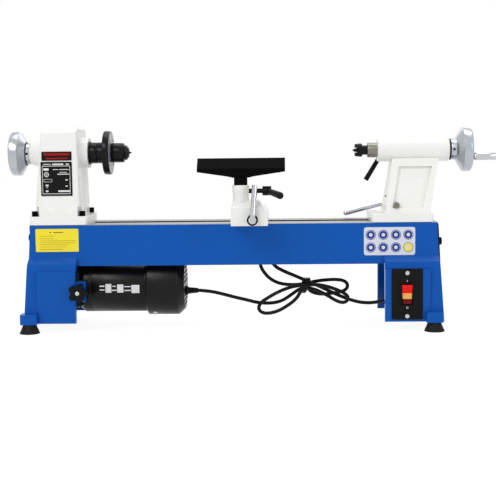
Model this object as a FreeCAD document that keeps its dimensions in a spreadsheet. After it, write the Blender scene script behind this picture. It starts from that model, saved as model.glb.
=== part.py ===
"""Bench wood lathe: bed with legs, headstock, tailstock, banjo with tool rest, motor and wiring.

X runs along the bed towards the tailstock, -Y is the operator's side, +Z is up.
The origin lies on the bench, under the middle of the whole machine.
Every piece is placed from the bed: x from the bed's middle, y from its mid-plane, z from its top.
"""
import FreeCAD, Part
import math
import os
import Sketcher

SIZES = {
    # the bed's middle and top in the frame
    "bed_centre_x": -35.0,
    "bed_centre_y": 24.0,
    "bed_top_height": 188.0,
    # bed and legs, one casting
    "bed_length": 716.0,
    "bed_width": 110.0,
    "bed_depth": 73.0,
    "bed_wall": 9.0,
    "way_thickness": 14.0,
    "slot_width": 28.0,
    "slot_left_stop": 108.0,
    "slot_right_stop": 18.0,
    "leg_top": 16.0,
    "leg_lean": 9.7,
    "leg_spread": 22.0,
    "leg_shoulder": 58.0,
    "left_leg_width": 82.5,
    "right_leg_width": 93.0,
    "leg_wall": 8.0,
    "panel_proud": 23.0,
    "panel_top": 79.0,
    "panel_inset": 15.0,
    "lug_length": 30.0,
    "lug_height": 18.0,
    "foot_spread": 80.0,
    "left_foot_inset": 1.0,
    "right_foot_inset": 8.0,
    "foot_height": 16.0,
    "foot_top_radius": 11.0,
    "foot_radius": 18.0,
    "foot_screw_radius": 3.0,
    # covers at the two ends
    "cover_thickness": 2.0,
    "cover_knob_radius": 7.0,
    "belt_opening_height": 96.0,
    "belt_opening_width": 84.0,
    # headstock
    "centre_height": 125.0,
    "flange_height": 15.0,
    "flange_left": 358.0,
    "flange_right": 256.0,
    "head_left": 349.5,
    "head_right": 267.0,
    "head_top_left": 335.5,
    "head_top_right": 271.8,
    "head_top": 175.5,
    "head_half_depth": 48.0,
    "head_wall": 9.0,
    "left_boss_end": 364.0,
    "left_boss_radius": 18.5,
    "right_boss_end": 257.5,
    "right_boss_radius": 27.0,
    "bolt_radius": 4.0,
    "bolt_head_radius": 5.5,
    "bolt_head_height": 9.0,
    # spindle line
    "spindle_radius": 12.5,
    "bearing_radius": 23.5,
    "bearing_width": 12.0,
    "running_clearance": 0.05,
    "gap": 0.3,
    "nose_radius": 12.6,
    "collar_radius": 18.8,
    "collar_length": 15.0,
    "faceplate_hub_length": 12.4,
    "faceplate_radius": 39.1,
    "faceplate_thickness": 12.0,
    "faceplate_hole_circle": 60.0,
    "faceplate_hole_radius": 2.75,
    "taper_radius": 8.97,
    "taper_length": 58.0,
    "taper_slope": 0.025,
    "cup_body_radius": 17.5,
    "cup_body_length": 24.0,
    # handwheels
    "wheel_radius": 39.3,
    "wheel_cone": 11.0,
    "wheel_rim": 16.0,
    "wheel_hub_radius": 18.8,
    "spindle_wheel_hub": 6.0,
    "tail_wheel_hub": 9.0,
    "crank_radius": 6.75,
    "crank_length": 41.0,
    "crank_bolt_radius": 3.5,
    "crank_offset_y": 25.0,
    "crank_offset_z": 12.6,
    # belt drive
    "pulley_step": 8.0,
    "pulley_small_radius": 24.0,
    "pulley_step_rise": 4.0,
    "pulley_right": 292.0,
    "belt_width": 7.0,
    "belt_thickness": 3.0,
    # motor
    "motor_axis_depth": 115.0,
    "motor_left": 271.0,
    "motor_length": 116.0,
    "motor_radius": 47.0,
    "motor_wall": 3.0,
    "motor_bevel": 9.0,
    "bell_length": 13.0,
    "fan_cover_length": 67.0,
    "fan_cover_rise": 6.0,
    "fan_cover_wall": 2.5,
    "motor_shaft_radius": 7.5,
    "motor_bearing_radius": 17.5,
    "motor_plate_thickness": 4.0,
    "lock_knob_radius": 17.0,
    # switch
    "switch_x": 303.0,
    "switch_depth": 123.5,
    "switch_plate_width": 54.0,
    "switch_plate_height": 89.0,
    "rocker_width": 18.2,
    "rocker_height": 34.0,
    # cord
    "cord_radius": 3.2,
    "cord_exit_depth": 125.5,
    # tailstock
    "tail_left": 243.0,
    "tail_length": 108.5,
    "tail_base_height": 14.0,
    "barrel_radius": 21.0,
    "barrel_left": 257.7,
    "barrel_length": 126.9,
    "quill_radius": 13.25,
    "quill_left": 240.0,
    "quill_length": 118.0,
    "leadscrew_radius": 6.0,
    "leadscrew_tip": 306.0,
    "spur_radius": 12.0,
    "tail_cam_x": 287.5,
    "tail_cam_height": 28.7,
    "tail_cam_radius": 5.85,
    "shoe_thickness": 11.0,
    "shoe_half_width": 24.0,
    # banjo and tool rest
    "banjo_left": 0.0,
    "banjo_width": 63.0,
    "banjo_front": 115.0,
    "banjo_rear": 60.0,
    "banjo_height": 43.0,
    "post_x": 17.0,
    "post_y": 95.0,
    "post_radius": 14.75,
    "post_height": 69.3,
    "stem_radius": 11.5,
    "stem_bottom": 20.0,
    "rest_bottom": 82.0,
    "rest_top": 115.0,
    "rest_length": 150.0,
    "banjo_cam_x": 37.0,
    "banjo_cam_height": 11.0,
    "banjo_cam_radius": 6.25,
    "lock_height": 59.0,
}

doc = FreeCAD.newDocument("WoodLathe")
sheet = doc.addObject("Spreadsheet::Sheet", "Sizes")
for row, (alias, number) in enumerate(SIZES.items(), start=1):
    sheet.set(f"A{row}", alias)
    sheet.set(f"B{row}", str(number))
    sheet.setAlias(f"B{row}", alias)
doc.recompute()


class Size:
    """A length that remembers the sheet expression it comes from."""

    def __init__(self, number, text):
        self.number = number
        self.text = text

    def __add__(self, other):
        other = as_size(other)
        return Size(self.number + other.number, f"({self.text} + {other.text})")

    __radd__ = __add__

    def __neg__(self):
        return Size(-self.number, f"(0 - {self.text})")

    def __sub__(self, other):
        other = as_size(other)
        return Size(self.number - other.number, f"({self.text} - {other.text})")

    def __rsub__(self, other):
        return as_size(other) - self

    def __mul__(self, other):
        other = as_size(other)
        return Size(self.number * other.number, f"({self.text} * {other.text})")

    __rmul__ = __mul__

    def __truediv__(self, other):
        other = as_size(other)
        return Size(self.number / other.number, f"({self.text} / {other.text})")


def as_size(value):
    if isinstance(value, Size):
        return value
    return Size(float(value), f"({float(value)})")


class Sheet:
    """The sheet's cells, by alias."""

    def __getattr__(self, alias):
        return Size(float(sheet.get(alias)), f"Sizes.{alias}")


s = Sheet()
NODES = {}
BED_X, BED_Y, BED_TOP = s.bed_centre_x, s.bed_centre_y, s.bed_top_height
AXES = {
    "X": FreeCAD.Vector(1, 0, 0),
    "Y": FreeCAD.Vector(0, 1, 0),
    "Z": FreeCAD.Vector(0, 0, 1),
}


def bind(item, prop, value):
    """Tie a property to the sheet, or set it where the value is a plain number."""
    if isinstance(value, Size):
        item.setExpression(prop, value.text)
    else:
        setattr(item, prop, value)


def place(item, x, y, z, direction=None):
    """Put an item at a point of the bed's frame, with its own Z turned to the direction."""
    if direction is not None:
        turn = FreeCAD.Rotation(AXES["Z"], FreeCAD.Vector(*direction))
        item.Placement = FreeCAD.Placement(FreeCAD.Vector(0, 0, 0), turn)
    item.setExpression("Placement.Base.x", (BED_X + x).text)
    item.setExpression("Placement.Base.y", (BED_Y + y).text)
    item.setExpression("Placement.Base.z", (BED_TOP + z).text)
    return item


def box(x, y, z, length, width, height):
    """A block from its lowest corner."""
    item = doc.addObject("Part::Box", "Block")
    bind(item, "Length", length)
    bind(item, "Width", width)
    bind(item, "Height", height)
    return place(item, x, y, z)


def rod(axis, x, y, z, radius, length):
    """A round bar that starts at a point and runs along an axis or a direction."""
    item = doc.addObject("Part::Cylinder", "Bar")
    bind(item, "Radius", radius)
    bind(item, "Height", length)
    return place(item, x, y, z, AXES[axis] if axis in AXES else axis)


def taper(direction, x, y, z, start_radius, end_radius, length):
    """A round bar whose radius changes evenly."""
    item = doc.addObject("Part::Cone", "Taper")
    bind(item, "Radius1", start_radius)
    bind(item, "Radius2", end_radius)
    bind(item, "Height", length)
    return place(item, x, y, z, direction)


def ball(x, y, z, radius, direction=(0, 0, 1)):
    """A sphere whose poles lie along a direction."""
    item = doc.addObject("Part::Sphere", "Ball")
    bind(item, "Radius", radius)
    return place(item, x, y, z, direction)


def hold(sketch, vertex, kind, axis, value):
    """Fix one coordinate of a sketch vertex."""
    if not isinstance(value, Size) and value == 0:
        sketch.addConstraint(Sketcher.Constraint("PointOnObject", vertex, 1, axis))
        return
    number = as_size(value).number
    index = sketch.addConstraint(Sketcher.Constraint(kind, -1, 1, vertex, 1, number))
    if isinstance(value, Size):
        sketch.setExpression(f"Constraints[{index}]", value.text)


def outline(body, plane, points):
    """A closed, fully dimensioned polygon on one of the body's origin planes."""
    sketch = body.newObject("Sketcher::SketchObject", "Outline")
    support = next(item for item in body.Origin.OriginFeatures if item.Role == plane)
    sketch.AttachmentSupport = (support, [""])
    sketch.MapMode = "FlatFace"
    corners = [FreeCAD.Vector(as_size(u).number, as_size(v).number, 0) for u, v in points]
    count = len(corners)
    sides = [Part.LineSegment(corners[i], corners[(i + 1) % count]) for i in range(count)]
    sketch.addGeometry(sides, False)
    for i in range(count):
        sketch.addConstraint(Sketcher.Constraint("Coincident", i, 2, (i + 1) % count, 1))
    for i, (u, v) in enumerate(points):
        hold(sketch, i, "DistanceX", -2, u)
        hold(sketch, i, "DistanceY", -1, v)
    return sketch


def turned(axis, x, y, z, points):
    """A turned piece: points are (along, radius) from a centre on the axis."""
    body = doc.addObject("PartDesign::Body", "Turned")
    if axis == "X":
        sketch = outline(body, "XY_Plane", points)
        reference = "H_Axis"
    else:
        plane = "XY_Plane" if axis == "Y" else "XZ_Plane"
        sketch = outline(body, plane, [(radius, along) for along, radius in points])
        reference = "V_Axis"
    revolution = body.newObject("PartDesign::Revolution", "Revolution")
    revolution.Profile = sketch
    revolution.ReferenceAxis = (sketch, [reference])
    revolution.Angle = 360
    return place(body, x, y, z)


def slab(plane, start, depth, points):
    """A flat-sided piece: a polygon in the bed's frame, padded up its plane's normal from start."""
    body = doc.addObject("PartDesign::Body", "Slab")
    sketch = outline(body, f"{plane}_Plane", points)
    pad = body.newObject("PartDesign::Pad", "Pad")
    pad.Profile = sketch
    bind(pad, "Length", depth)
    pad.Reversed = plane == "XZ"
    offset = {"YZ": (start, 0, 0), "XZ": (0, start, 0), "XY": (0, 0, start)}[plane]
    return place(body, *offset)


def boolean(kind, base, tool):
    item = doc.addObject(kind, "Shape")
    item.Base = base
    item.Tool = tool
    return item


def several(kind, parts):
    item = doc.addObject(kind, "Shape")
    if kind == "Part::Compound":
        item.Links = parts
    else:
        item.Shapes = parts
    return item


def join(*parts):
    return several("Part::MultiFuse", list(parts))


def apart(*parts):
    """Separate solids that share one node."""
    return several("Part::Compound", list(parts))


def cut(base, *tools):
    tool = tools[0] if len(tools) == 1 else several("Part::MultiFuse", list(tools))
    return boolean("Part::Cut", base, tool)


def common(first, second):
    return boolean("Part::Common", first, second)


def soften(kind, base, size, wanted):
    """Fillet or chamfer the edges of a shape that the test wants."""
    doc.recompute()
    chosen = [i for i, edge in enumerate(base.Shape.Edges, start=1) if wanted(edge)]
    item = doc.addObject(kind, "Softened")
    item.Base = base
    item.Edges = [(i, size, size) for i in chosen]
    return item


def upright(edge):
    """An edge that rises more than it runs."""
    box_of_edge = edge.BoundBox
    return box_of_edge.ZLength > max(box_of_edge.XLength, box_of_edge.YLength)


def node(label, item):
    item.Label = label
    NODES[label] = item
    return item


def mirrored_y(points):
    """Both halves of an outline that is the same on either side of the mid-plane."""
    return [(-y, z) for y, z in points] + [(y, z) for y, z in reversed(points)]


# ---------------------------------------------------------------- bed, legs and feet
HALF = s.bed_length / 2
HALF_W = s.bed_width / 2
LEG_BOTTOM = -(s.bed_top_height - s.foot_height)


def leg(side, width):
    """One leg block: its cross outline common with its side outline, which leans outwards."""
    across = [(HALF_W, -s.leg_top), (HALF_W, -s.leg_shoulder), (HALF_W + 13, -s.leg_shoulder - 10),
              (HALF_W + 15.5, -s.panel_top), (HALF_W + s.leg_spread, LEG_BOTTOM)]
    along = [(side * HALF, -s.leg_top), (side * (HALF - width), -s.leg_top),
             (side * (HALF - width), LEG_BOTTOM), (side * (HALF + s.leg_lean), LEG_BOTTOM)]
    start = -(HALF + 30) if side < 0 else HALF - width - 10
    block = common(slab("YZ", start, width + 40, mirrored_y(across)),
                   slab("XZ", -(HALF_W + 40), s.bed_width + 80, along))
    panels = []
    for y_side in (-1, 1):
        low = side * (HALF - width)
        face = [(y_side * (HALF_W + 6), -s.panel_top), (y_side * (HALF_W + s.panel_proud), -s.panel_top - 1.5),
                (y_side * (HALF_W + s.panel_proud), LEG_BOTTOM), (y_side * (HALF_W + 6), LEG_BOTTOM)]
        length = width - s.panel_inset
        panel_start = low if side > 0 else low - length
        panels.append(slab("YZ", panel_start, length, face))
    return [block] + panels


def leg_hollow(side, width):
    """The space in a leg, open below and towards the middle of the bed."""
    inner_w = HALF_W - s.bed_wall
    across = [(inner_w, -s.way_thickness), (inner_w, -s.leg_shoulder - 4),
              (HALF_W + 15.5 - s.leg_wall, -s.panel_top - 2), (HALF_W + s.leg_spread - s.leg_wall, LEG_BOTTOM - 5)]
    end = HALF - s.leg_wall
    along = [(side * end, -s.way_thickness), (side * (HALF - width - 5), -s.way_thickness),
             (side * (HALF - width - 5), LEG_BOTTOM - 5), (side * (end + s.leg_lean), LEG_BOTTOM - 5)]
    start = -(HALF + 30) if side < 0 else HALF - width - 10
    return common(slab("YZ", start, width + 40, mirrored_y(across)),
                  slab("XZ", -(HALF_W + 40), s.bed_width + 80, along))


def foot_centres():
    left = -(HALF - s.left_foot_inset)
    right = HALF - s.right_foot_inset
    return [(x, y_side * s.foot_spread) for x in (left, right) for y_side in (-1, 1)]


KNOB_X = -(s.motor_left - 2)
KNOB_Z = -s.motor_axis_depth - 1.5
COVER_KNOB_Z = -39.0
KNOB_HOLE = 2.6


def build_bed():
    block = soften("Part::Chamfer", box(-HALF, -HALF_W, -s.bed_depth, s.bed_length, s.bed_width, s.bed_depth),
                   1.0, lambda edge: edge.BoundBox.ZMin > BED_TOP.number - 1 and edge.Length > 200)
    outside = [block] + leg(-1, s.left_leg_width) + leg(1, s.right_leg_width)
    for x, y in foot_centres():
        lug = box(x - s.lug_length / 2, y - 12, LEG_BOTTOM, s.lug_length, 24, s.lug_height)
        outside.append(soften("Part::Fillet", lug, 4.0, upright))
    outside.append(box(KNOB_X - 11, -74, KNOB_Z - 18, 22, 5, 36))
    inside = [
        box(-(HALF - s.bed_wall), -(HALF_W - s.bed_wall), -s.bed_depth - 1,
            s.bed_length - 2 * s.bed_wall, s.bed_width - 2 * s.bed_wall, s.bed_depth - s.way_thickness + 1),
        box(-(HALF - s.slot_left_stop), -s.slot_width / 2, -s.way_thickness - 1,
            s.bed_length - s.slot_left_stop - s.slot_right_stop, s.slot_width, s.way_thickness + 2),
        leg_hollow(-1, s.left_leg_width),
        leg_hollow(1, s.right_leg_width),
        box(-(s.pulley_right + 42), -40, -s.way_thickness - 1, 52, 80, s.way_thickness + 2),
        box(-(HALF + 12), -s.belt_opening_width / 2, -132, 26, s.belt_opening_width, s.belt_opening_height),
        rod("X", HALF - 12, 0, COVER_KNOB_Z, KNOB_HOLE, 24),
        box(s.switch_x - 12, -(HALF_W + 30), -s.switch_depth - 21, 24, 32, 42),
        rod("Y", KNOB_X, -90, KNOB_Z, 4.2, 40),
    ]
    for x, y in foot_centres():
        inside.append(rod("Z", x, y, LEG_BOTTOM - 1, s.foot_screw_radius + 0.2, 15))
    for x, y in bolt_centres():
        inside.append(rod("Z", x, y, -s.way_thickness - 1, s.bolt_radius + 0.2, s.way_thickness + 2))
    for z in switch_screw_heights():
        inside.append(rod("Y", s.switch_x, -(HALF_W + 30), z, 2.0, 25))
    for x, z in cover_knob_centres():
        inside.append(rod("X", x - 12, 0, z, KNOB_HOLE, 24))
    return node("bed_casting", cut(join(*outside), *inside))


def bolt_centres():
    left = -(s.flange_left - 8.5)
    right = -(s.flange_right + 9.3)
    return [(x, y_side * (HALF_W - 9)) for x in (left, right) for y_side in (-1, 1)]


def switch_screw_heights():
    return [-s.switch_depth + 37, -s.switch_depth - 38.5]


def cover_knob_centres():
    """Left knobs sit above and below the belt opening, the right one in the end cover's middle."""
    return [(-HALF, -27.0), (-(HALF + 8), -142.0)]


def build_feet():
    feet, screws = [], []
    for x, y in foot_centres():
        depth = s.foot_height
        feet.append(turned("Z", x, y, LEG_BOTTOM, [
            (0, s.foot_screw_radius + 0.3), (0, s.foot_top_radius), (2 - depth, s.foot_radius - 1),
            (-depth, s.foot_radius), (-depth, 7.0), (-depth + 7, 7.0), (-depth + 7, s.foot_screw_radius + 0.3)]))
        screws.append(turned("Z", x, y, LEG_BOTTOM, [
            (11, 0), (11, s.foot_screw_radius), (-depth + 6.7, s.foot_screw_radius),
            (-depth + 6.7, 6.0), (-depth + 3.2, 6.0), (-depth + 3.2, 0)]))
    node("rubber_feet", apart(*feet))
    node("foot_screws", apart(*screws))


def build_covers():
    """The belt cover leans with the left leg's end, the end cover stands upright."""
    slope = 9.7 / 156.0
    top, bottom = -22.0, -147.0
    lean_top = -(HALF + slope * (-top - 16))
    lean_bottom = -(HALF + slope * (-bottom - 16))
    t = s.cover_thickness
    plate = slab("XZ", -46, 92, [(lean_top - 0.1, top), (lean_bottom - 0.1, bottom),
                                 (lean_bottom - 0.1 - t, bottom), (lean_top - 0.1 - t, top)])
    holes = [rod("X", x - 14, 0, z, KNOB_HOLE, 28) for x, z in cover_knob_centres()]
    node("belt_cover", cut(plate, *holes))
    inner, low = HALF + 0.1, -s.bed_depth - 3
    drift = slope * (-low - 16)
    end = slab("XZ", -47, 94, [(inner, -3), (inner, -16), (inner + drift, low),
                               (inner + drift + t + 1, low), (inner + t + 1, -3)])
    rounded = soften("Part::Fillet", end, 8.0, lambda edge: edge.BoundBox.XLength > 2 and edge.Length < 10)
    node("end_cover", cut(rounded, rod("X", HALF - 2, 0, COVER_KNOB_Z, KNOB_HOLE, 12)))
    knobs = []
    for x, z in cover_knob_centres():
        face = x - t - 3
        knobs.append(join(rod((-1, 0, 0), face, 0, z, s.cover_knob_radius, 9.0),
                          rod("X", face - 1, 0, z, 2.4, 14)))
    face = HALF + t + 3.4
    knobs.append(join(rod("X", face, 0, COVER_KNOB_Z, s.cover_knob_radius, 10.0),
                      rod("X", face - 17, 0, COVER_KNOB_Z, 2.4, 18)))
    node("cover_knobs", apart(*knobs))


# ---------------------------------------------------------------- headstock
AXIS = s.centre_height
BELT_Z = -s.motor_axis_depth


def headstock_block():
    side = [(-s.head_left, s.flange_height), (-s.head_top_left, s.head_top - 12),
            (-s.head_top_left + 9.5, s.head_top), (-s.head_top_right - 8, s.head_top),
            (-s.head_top_right, s.head_top - 9), (-s.head_right, s.flange_height)]
    end = [(s.head_half_depth, s.flange_height), (s.head_half_depth, s.head_top - 13),
           (s.head_half_depth - 12, s.head_top)]
    block = common(slab("XZ", -HALF_W, s.bed_width, side),
                   slab("YZ", -s.head_left - 8.5, 110, mirrored_y(end)))
    return soften("Part::Fillet", block, 5.0,
                  lambda edge: edge.BoundBox.ZMin > BED_TOP.number + s.flange_height.number + 5
                  or upright(edge) and edge.Length > 20)


def headstock_hollow():
    wall = s.head_wall
    side = [(-s.head_left + wall + 1, -1), (-s.head_top_left - 5 + wall, 100),
            (-s.head_top_left + wall, s.head_top - wall), (-s.head_top_right - wall, s.head_top - wall),
            (-s.head_top_right - wall, -1)]
    end = [(s.head_half_depth - wall, -1), (s.head_half_depth - wall, 140),
           (s.head_half_depth - wall - 8, s.head_top - wall)]
    return common(slab("XZ", -HALF_W, s.bed_width, side), slab("YZ", -s.head_left - 8.5, 110, mirrored_y(end)))


LEFT_BEARING = -344.0
RIGHT_BEARING = -272.0
HINGE = (-338.5, 53.0)
DOOR_LOW, DOOR_HIGH = 62.0, 152.0


def build_headstock():
    flange = soften("Part::Fillet", box(-s.flange_left, -HALF_W, 0, s.flange_left - s.flange_right,
                                        s.bed_width, s.flange_height), 6.0, upright)
    shell = join(flange, headstock_block())
    left_length = s.left_boss_end + LEFT_BEARING + 8
    bosses = [
        taper((1, 0, 0), -s.left_boss_end, 0, AXIS, s.left_boss_radius, 28.5, left_length),
        rod("X", -336, 0, AXIS, 29, 10),
        rod("X", RIGHT_BEARING - 14, 0, AXIS, 29, 14),
        rod("X", RIGHT_BEARING - 1, 0, AXIS, s.right_boss_radius, 1 - s.right_boss_end - RIGHT_BEARING),
    ]
    lugs = [box(HINGE[0] - 4, s.head_half_depth - 2, z, 8, HINGE[1] + 2 - s.head_half_depth, 11)
            for z in (DOOR_LOW, DOOR_HIGH - 11)]
    opening = box(-328, s.head_half_depth - 12, DOOR_LOW + 6, 44, 16, DOOR_HIGH - DOOR_LOW - 12)
    bores = [
        rod("X", LEFT_BEARING, 0, AXIS, s.bearing_radius, 20),
        rod("X", -s.left_boss_end - 1, 0, AXIS, 14, 30),
        rod("X", RIGHT_BEARING - 16, 0, AXIS, s.bearing_radius, s.bearing_width + 16),
        rod("X", RIGHT_BEARING, 0, AXIS, 14, 20),
        rod("Z", HINGE[0], HINGE[1], DOOR_LOW - 1, 2.0, DOOR_HIGH - DOOR_LOW + 2),
    ]
    for x, y in bolt_centres():
        bores.append(rod("Z", x, y, -1, s.bolt_radius + 0.2, s.flange_height + 2))
        bores.append(rod("Z", x, y, s.flange_height, 8.2, 17))
    solid = join(cut(shell, headstock_hollow()), *bosses, *lugs)
    node("headstock_casting", cut(solid, opening, *bores))
    door_face = s.head_half_depth + s.gap
    leaf = soften("Part::Fillet", box(HINGE[0], door_face, DOOR_LOW - 4, 61, 3, DOOR_HIGH - DOOR_LOW + 8), 1.4,
                  lambda edge: edge.BoundBox.YMin > BED_Y.number + door_face.number + 2)
    barrel_z = DOOR_LOW + 11.4
    barrel = rod("Z", HINGE[0], HINGE[1], barrel_z, 4.4, DOOR_HIGH - DOOR_LOW - 22.8)
    clear = [box(HINGE[0] - 1, HINGE[1] - 8, z, 6.5, 12, 15.8) for z in (DOOR_LOW - 4.4, DOOR_HIGH - 11.4)]
    knob = rod("Y", -285, door_face + 3, 107, 6, 10)
    door = cut(join(cut(leaf, *clear), barrel), rod("Z", HINGE[0], HINGE[1], DOOR_LOW, 2.06, 90))
    node("headstock_door", apart(door, knob))
    bolts = []
    for x, y in bolt_centres():
        bolts.append(cut(join(rod("Z", x, y, -24, s.bolt_radius, s.flange_height + 24),
                              rod("Z", x, y, s.flange_height + 0.05, s.bolt_head_radius, s.bolt_head_height)),
                         rod("Z", x, y, s.flange_height + 5, 2.7, 6)))
    pin = rod("Z", HINGE[0], HINGE[1], DOOR_LOW, 2.0, DOOR_HIGH - DOOR_LOW)
    node("headstock_fasteners", apart(pin, *bolts))


def build_labels():
    """Thin plates on the castings: two on the headstock's front, two on the bed's front."""
    face = -s.head_half_depth - 0.8
    node("label_plates", apart(
        box(-334.5, face, 113, 53.2, 0.8, 15.8),
        box(-336.5, face, 51, 55.3, 0.8, 60),
        box(-347.5, -HALF_W - 0.5, -47.3, 76, 0.5, 40.6),
        box(230, -HALF_W - 0.5, -57.8, 89.3, 0.5, 49.1),
    ))


# ---------------------------------------------------------------- spindle line
NOSE_LEFT = -s.right_boss_end
PLATE_LEFT = NOSE_LEFT + s.collar_length
FLANGE_LEFT = PLATE_LEFT + s.faceplate_hub_length
FACE = FLANGE_LEFT + s.faceplate_thickness
WHEEL_FACE = -s.left_boss_end - s.gap
WHEEL_END = WHEEL_FACE - s.spindle_wheel_hub - s.wheel_cone - s.wheel_rim
SHAFT_STEP = -345.0


def socket(direction, x, extra):
    """The cutter for a taper socket: a slightly wider cone from its mouth inwards."""
    end_radius = s.taper_radius - s.taper_slope * (s.taper_length + extra)
    return taper((direction, 0, 0), x, 0, AXIS, s.taper_radius + 0.08, end_radius + 0.08, s.taper_length + extra)


def ring_bearing(axis, x, y, z, outer, inner, width):
    """A sealed ball bearing: two races and a shield set in between them, as one ring."""
    rise = (outer - inner) / 4
    return turned(axis, x, y, z, [
        (0, inner), (0, inner + rise), (0.8, inner + rise), (0.8, outer - rise), (0, outer - rise), (0, outer),
        (width, outer), (width, outer - rise), (width - 0.8, outer - rise), (width - 0.8, inner + rise),
        (width, inner + rise), (width, inner)])


def build_spindle():
    shaft = turned("X", 0, 0, AXIS, [
        (WHEEL_END + 4, 0), (WHEEL_END + 4, 10), (SHAFT_STEP, 10), (SHAFT_STEP, s.spindle_radius),
        (PLATE_LEFT, s.spindle_radius), (PLATE_LEFT, s.nose_radius - 0.4), (PLATE_LEFT + 2, s.nose_radius),
        (FACE - 4, s.nose_radius), (FACE - 4, 0)])
    node("spindle", cut(shaft, rod("X", WHEEL_END, 0, AXIS, 4.8, FACE - WHEEL_END), socket(-1, FACE, 4)))
    collar = turned("X", 0, 0, AXIS, [
        (NOSE_LEFT + s.gap, s.spindle_radius + s.running_clearance), (NOSE_LEFT + s.gap, s.collar_radius - 0.8),
        (NOSE_LEFT + s.gap + 0.8, s.collar_radius), (PLATE_LEFT - 1, s.collar_radius),
        (PLATE_LEFT, s.collar_radius - 0.8), (PLATE_LEFT, s.spindle_radius + s.running_clearance)])
    node("nose_collar", collar)
    plate = turned("X", 0, 0, AXIS, [
        (PLATE_LEFT, s.nose_radius + s.running_clearance), (PLATE_LEFT, s.collar_radius),
        (FLANGE_LEFT, s.collar_radius), (FLANGE_LEFT, s.faceplate_radius - 1),
        (FLANGE_LEFT + 1, s.faceplate_radius), (FACE - 1, s.faceplate_radius), (FACE, s.faceplate_radius - 1),
        (FACE, s.nose_radius + s.running_clearance)])
    holes = []
    for quarter in range(4):
        turn = math.radians(45 + 90 * quarter)
        radius = s.faceplate_hole_circle / 2
        holes.append(rod("X", FLANGE_LEFT - 1, radius * math.cos(turn), AXIS + radius * math.sin(turn),
                         s.faceplate_hole_radius, s.faceplate_thickness + 2))
    node("faceplate", cut(plate, *holes))
    small, rise, step = s.pulley_small_radius, s.pulley_step_rise, s.pulley_step
    right = -s.pulley_right
    profile = [(right, s.spindle_radius + s.running_clearance)]
    for i in range(4):
        profile += [(right - step * i, small + rise * (3 - i)), (right - step * (i + 1), small + rise * (3 - i))]
    profile.append((right - step * 4, s.spindle_radius + s.running_clearance))
    node("spindle_pulley", turned("X", 0, 0, AXIS, profile))
    node("spindle_bearings", apart(
        ring_bearing("X", LEFT_BEARING, 0, AXIS, s.bearing_radius, s.spindle_radius + s.running_clearance,
                     s.bearing_width),
        ring_bearing("X", RIGHT_BEARING, 0, AXIS, s.bearing_radius, s.spindle_radius + s.running_clearance,
                     s.bearing_width)))


def build_cup_centre():
    """A centre with a taper shank, whose cup turns on its own stub."""
    end = FACE + s.cup_body_length
    tail_radius = s.taper_radius - s.taper_slope * s.taper_length
    body = turned("X", 0, 0, AXIS, [
        (FACE - s.taper_length, 0), (FACE - s.taper_length, tail_radius), (FACE, s.taper_radius),
        (FACE, s.cup_body_radius - 1), (FACE + 1, s.cup_body_radius), (end - 2.5, s.cup_body_radius),
        (end, s.cup_body_radius - 2.5), (end, 6 + s.running_clearance), (end - 16, 6 + s.running_clearance),
        (end - 16, 0)])
    node("live_centre_body", body)
    cup = turned("X", 0, 0, AXIS, [
        (end - 15.5, 0), (end - 15.5, 6), (end + s.gap, 6), (end + s.gap, 12), (end + 1.2, 13), (end + 4, 13),
        (end + 5, 12), (end + 5, 10.5), (end + 7.4, 9.2), (end + 7.4, 8.2), (end + 5, 6.4), (end + 5, 4.6),
        (end + 13, 0)])
    node("cup_centre", cup)


def handwheel(face, side, hub, bore):
    """A cast wheel: hub against the casting, cone out to a deep rim, recessed outer face."""
    rim = hub + s.wheel_cone
    end = rim + s.wheel_rim
    shape = [(0, bore), (0, s.wheel_hub_radius), (hub, s.wheel_hub_radius), (hub, s.wheel_hub_radius + 1.9),
             (rim, s.wheel_radius), (end - 3, s.wheel_radius), (end, s.wheel_radius - 3), (end, 34.0),
             (end - 1.5, 32.5), (hub + 15, 30.0), (hub + 14, 17.0), (end - 6, 14.5), (end - 5, 13.5),
             (end - 5, bore)]
    return turned("X", 0, 0, AXIS, [(face + side * along, radius) for along, radius in shape])


def set_screw(x, reach):
    return rod("Y", x, -s.wheel_hub_radius + 0.2, AXIS, 2.1, s.wheel_hub_radius - reach - 0.2)


def build_spindle_wheel():
    bore = 10.0 + s.running_clearance
    x = WHEEL_FACE - s.spindle_wheel_hub / 2
    wheel = handwheel(WHEEL_FACE, -1, s.spindle_wheel_hub, bore)
    node("spindle_handwheel", cut(wheel, rod("Y", x, -s.wheel_hub_radius - 4, AXIS, 2.2, s.wheel_hub_radius - 6)))
    node("spindle_wheel_screw", set_screw(x, 10.1))


# ---------------------------------------------------------------- belt drive and motor
BELT_STEP = 1


def motor_pulley_radius(step):
    return s.pulley_small_radius + s.pulley_step_rise * step


def belt_side(top_radius, bottom_radius, x, width):
    """The solid within a belt's outline round two pulleys, one above the other."""
    span = (AXIS - BELT_Z).number
    high, low = as_size(top_radius).number, as_size(bottom_radius).number
    lean = math.asin((high - low) / span)
    across, along = math.cos(lean), math.sin(lean)
    origin_y = BED_Y.number
    top = (BED_TOP + AXIS).number
    bottom = (BED_TOP + BELT_Z).number
    start = (BED_X + x).number

    def point(y, z):
        return FreeCAD.Vector(start, origin_y + y, z)

    a = point(-high * across, top + high * along)
    b = point(high * across, top + high * along)
    c = point(low * across, bottom + low * along)
    d = point(-low * across, bottom + low * along)
    edges = [
        Part.Arc(a, point(0, top + high), b).toShape(),
        Part.LineSegment(b, c).toShape(),
        Part.Arc(c, point(0, bottom - low), d).toShape(),
        Part.LineSegment(d, a).toShape(),
    ]
    face = Part.Face(Part.Wire(edges))
    return face.extrude(FreeCAD.Vector(as_size(width).number, 0, 0))


def shape_node(label, shape):
    item = doc.addObject("Part::Feature", label)
    item.Shape = shape
    item.Placement = FreeCAD.Placement()
    return node(label, item)


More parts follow.
